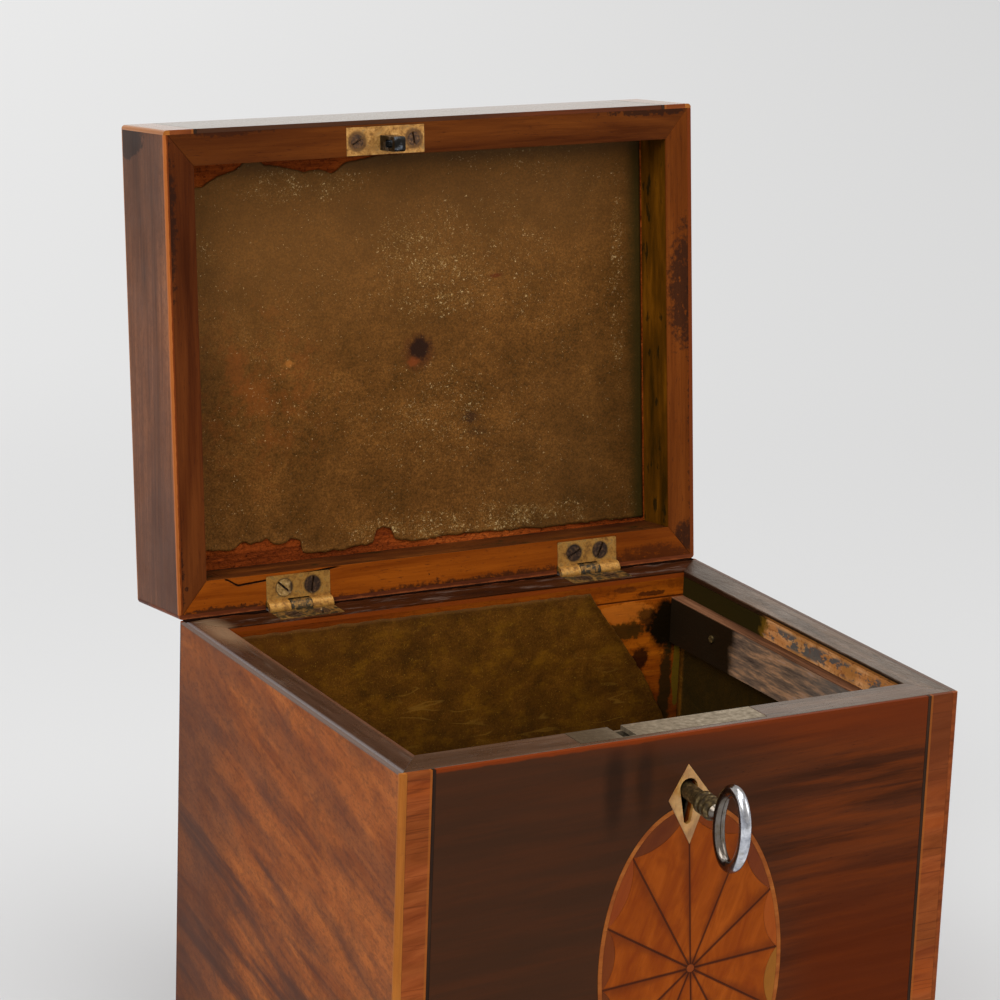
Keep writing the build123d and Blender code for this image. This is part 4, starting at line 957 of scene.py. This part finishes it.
def metals():
    for name, names, body in (
        ("caseHingeBrass", ["hinge_case_leaves"], "case"),
        ("lidHingeBrass", ["hinge_lid_leaves"], "lid"),
    ):
        m = metal(name, body, brassLook)
        if body == "lid":  # dirt round the screws and along the joints
            tint(m, ease(m, cloud(m, 1.6, 5, 0.7), 0.52, 0.64, 0.0, 0.6), "3a3016")
            for screw in screwSpots("hinge_lid_screws"):
                tint(m, ease(m, nearSpot(m, screw), 2.9, 2.2, 0.0, 0.8), "241a0b")
        else:
            tint(m, ease(m, cloud(m, 1.4, 4, 0.6), 0.56, 0.44, 0.5, 0.95), "1a1a0e")
        paint(names, metalSurface(m))
    plate = dict(brassLook, dark="7a4f1e", mid="bb8743", light="dfae68", size=1.2)
    m = metal("linkPlateBrass", "lid", plate)
    tint(m, ease(m, cloud(m, 2.4, 5, 0.7), 0.54, 0.66, 0.0, 0.6), "3d2812")
    for screw in screwSpots("link_plate_screws"):
        tint(m, ease(m, nearSpot(m, screw), 3.2, 2.3, 0.0, 0.8), "4a2c12")
    paint(["link_plate"], metalSurface(m))
    lock = dict(brassLook, dark="6e614c", mid="8b7c66", light="a8987f", rough=(0.32, 0.5), metal=0.5)
    m = metal("lockBrass", "case", lock)
    dull = ease(m, timesPlus(m, cloud(m, 4.0, 4), 6.0, m["x"]), -3.0, -22.0, 0.0, 0.75)
    tint(m, dull, "3c2a10")
    paint(["lock_plate", "lock_cap"], metalSurface(m))
    iron = dict(ironLook, dark="1c110a", mid="3c281a", light="6b4f36")
    m = metal("lidScrewIron", "lid", iron)
    bright = fade(m, "x", -46.0, -47.0)
    fresh = stops(m, m["cast"], [(0.3, "6a4c22"), (0.55, "b48f54"), (0.75, "e0bf88")])
    slotted = fade(m, "z", lidLow.z + 0.5, lidLow.z + 0.3)
    m["colour"] = mixed(m, times(m, bright, slotted), m["colour"], fresh)
    paint(["hinge_lid_screws"], metalSurface(m))
    rusty = dict(ironLook, dark="241408", mid="4e321a", light="805a34", metal=0.4)
    plainMetal(["link_plate_screws"], "linkScrewIron", rusty, "lid")
    staple = dict(dark="0c0b0a", mid="22201e", light="767d88", rough=(0.22, 0.45), metal=0.85, size=2.2)
    plainMetal(["link_staple"], "stapleIron", staple, "lid")
    ironwork = ["lock_drill_pin", "lock_stump", "lock_spring", "lock_screws", "lock_bolt", "hinge_pins",
                "hinge_case_screws"]
    plainMetal(ironwork, "caseIron", iron)
    nail = dict(iron, mid="5a4a2a", light="c0a468")
    plainMetal(["batten_nails"], "nailIron", nail)
    bronze = dict(dark="221a0e", mid="4a3b22", light="7d6a44", rough=(0.3, 0.5), metal=0.7, size=1.2)
    plainMetal(["key_shank"], "keyBronze", bronze)
    steel = dict(dark="8b8e97", mid="b9bcc4", light="e2e4ea", rough=(0.12, 0.26), metal=1.0, size=2.5,
                 depth=0.02)
    m = metal("keySteel", "case", steel)
    tint(m, ease(m, cloud(m, 3.0, 4, 0.6), 0.52, 0.68, 0.0, 0.4), "7c7050")
    bowEnd = ownBox("key_bow")[1].y
    tint(m, fade(m, "y", bowEnd - 12.0, bowEnd - 5.0, 0.8), "54452c")  # painted reflection of the wood, duller and olive towards the shank
    paint(["key_bow"], metalSurface(m))


metals()
print("metals done")


# A dark strip of painted shade in the hinge joint, and worn arrises

shadeStrip = {"top": 0.285, "back": 0.06, "front": 1.3, "step": 0.8, "hingeRoom": 0.5, "endRoom": 1.0,
            "hingesApart": 30.0}


def hingeShadeStrip():  # a dark strip of painted shade along the back of the rim, where the open lid's back arris meets the case's
    m = newMaterial("hingeJointShade")
    grain = cloud(m, 0.8, 4, 0.7)
    m["colour"] = stops(m, grain, [(0.35, "100805"), (0.55, "1c0e08"), (0.7, "2a160c")])
    surface(m, 1.0, grain, 0.1, Specular_IOR_Level=0.0)
    backEdge = caseHigh.y - shadeStrip["back"]
    leaves = sorted({round(v.co.x / mm, 1) for v in nodes["hinge_case_leaves"].data.vertices})
    inner = [(a, b) for a, b in zip(leaves, leaves[1:]) if b - a > shadeStrip["hingesApart"]][0]
    room = shadeStrip["hingeRoom"]
    left, right = caseLow.x + shadeStrip["endRoom"], caseHigh.x - shadeStrip["endRoom"]
    spans = [(left, leaves[0] - room), (inner[0] + room, inner[1] - room), (leaves[-1] + room, right)]
    bm = bmesh.new()
    for start, end in spans:
        bar = bmesh.ops.create_cube(bm, size=1.0)["verts"]
        lengthwise = [e for v in bar for e in v.link_edges if abs(e.verts[0].co.x - e.verts[1].co.x) > 0.5]
        bmesh.ops.subdivide_edges(bm, edges=list(set(lengthwise)), cuts=int((end - start) / shadeStrip["step"]))
        for v in [v for v in bm.verts if not v.tag]:
            v.tag = True
            x = start + (v.co.x + 0.5) * (end - start)
            ragged = 0.5 * wander(x, 0, 2.0, 1.5) + 0.7 * wander(x, 0, 7.0, 2.5)
            y = backEdge if v.co.y > 0 else backEdge - shadeStrip["front"] + ragged
            z = rimZ + (shadeStrip["top"] - 0.01 * (1 + wander(x, y, 1.5, 3.5)) if v.co.z > 0 else -0.02)
            v.co = Vector((x, y, z)) * mm
    bmesh.ops.recalc_face_normals(bm, faces=bm.faces)
    made = newPiece("hingeShadeStrip", bm)
    made.data.materials.append(m["mat"])
    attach(made, "case")


hingeShadeStrip()

softEdges = {"boards": 0.22, "veneers": 0.12, "segments": 2, "angle": 35, "weld": 0.01}


def soften(name, width):
    weld = nodes[name].modifiers.new("weld", "WELD")
    weld.merge_threshold = softEdges["weld"] * mm
    bevel = nodes[name].modifiers.new("arris", "BEVEL")
    bevel.width = width * mm
    bevel.segments = softEdges["segments"]
    bevel.limit_method = "ANGLE"
    bevel.angle_limit = math.radians(softEdges["angle"])
    bevel.use_clamp_overlap = True
    bevel.harden_normals = True


for name in nodes:
    if name in ("back_capping", "lid_back_rail", "back_veneer", "lid_back_veneer"):
        continue  # these meet along the hinge, where a rounded arris would let the light through
    if name.endswith(("_capping", "_rail")):
        soften(name, softEdges["boards"])
    elif name.endswith("_veneer"):
        soften(name, softEdges["veneers"])


# Floor, light and camera

backdrop = {"size": 6.0, "colour": (1.0, 1.0, 1.0, 1), "warm": (1.0, 0.94, 0.86, 1), "glow": 0.7,
            "fill": 0.45, "near": 300.0, "far": 900.0, "floor": (0.67, 0.67, 0.67, 1)}
lights = {
    "left": {"place": (-1.5, -0.9, 1.5), "size": 1.4, "power": 30},
    "above": {"place": (0.2, -0.3, 2.2), "size": 1.8, "power": 26},
    "right": {"place": (1.6, -1.2, 1.0), "size": 1.2, "power": 9},
}
lampAim = Vector((0, 0, 0.12))
view = {"lens": 127.12, "sensor": 36, "place": (-0.4322, -0.7419, 0.4019), "azimuth": -29.07,
        "elevation": 15.39, "roll": 2.12}


def stage():
    bm = bmesh.new()
    bmesh.ops.create_grid(bm, x_segments=1, y_segments=1, size=backdrop["size"])
    floor = newPiece("floor", bm)
    m = newMaterial("paleFloor")
    away = addNode(m, "VectorMath", {0: m["where"]}, operation="LENGTH").outputs["Value"]
    far = ease(m, away, backdrop["near"], backdrop["far"])  # the far floor is as even as a paper sweep
    m["colour"] = mixed(m, far, backdrop["floor"], (0, 0, 0, 1))
    aside = timesPlus(m, m["y"], -0.55, m["x"])  # a little paler at the left, painted light falling from the left
    reach = backdrop["far"]
    glow = ease(m, aside, -reach, reach, backdrop["glow"] + 0.12, backdrop["glow"] - 0.06)
    plain = {"Emission_Color": backdrop["colour"], "Specular_IOR_Level": 0.1}
    floor.data.materials.append(surface(m, 0.9, Emission_Strength=times(m, far, glow), **plain))


def addLights():
    for name, lamp in lights.items():
        data = bpy.data.lights.new(name, "AREA")
        data.size = lamp["size"]
        data.energy = lamp["power"]
        made = bpy.data.objects.new(name, data)
        made.location = lamp["place"]
        made.rotation_euler = (lampAim - made.location).to_track_quat("-Z", "Y").to_euler()
        bpy.context.scene.collection.objects.link(made)


def studioWorld():  # what the camera and mirrors see of it is brighter than the light that it gives
    world = bpy.data.worlds.new("studio")
    bpy.context.scene.world = world
    world.use_nodes = True
    m = {"tree": world.node_tree}
    background = world.node_tree.nodes["Background"]
    rays = addNode(m, "LightPath").outputs
    sky = mixed(m, rays["Is Glossy Ray"], backdrop["colour"], backdrop["warm"])
    seen = calc(m, "ADD", rays["Is Camera Ray"], rays["Is Glossy Ray"], clamp=True)
    feed(m, background.inputs["Color"], sky)
    level = timesPlus(m, seen, backdrop["glow"] - backdrop["fill"], backdrop["fill"])
    feed(m, background.inputs["Strength"], level)


def addCamera():
    azimuth, elevation = math.radians(view["azimuth"]), math.radians(view["elevation"])
    level = math.cos(elevation)
    away = Vector((math.sin(azimuth) * level, -math.cos(azimuth) * level, math.sin(elevation)))
    data = bpy.data.cameras.new("camera")
    data.lens = view["lens"]
    data.sensor_width = view["sensor"]
    camera = bpy.data.objects.new("camera", data)
    camera.location = view["place"]
    camera.rotation_mode = "QUATERNION"
    roll = Quaternion((0, 0, 1), math.radians(view["roll"]))
    camera.rotation_quaternion = (-away).to_track_quat("-Z", "Y") @ roll
    bpy.context.scene.collection.objects.link(camera)
    bpy.context.scene.camera = camera


stage()
addLights()
studioWorld()
addCamera()
bpy.context.scene.view_settings.view_transform = "Standard"

print("scene done")
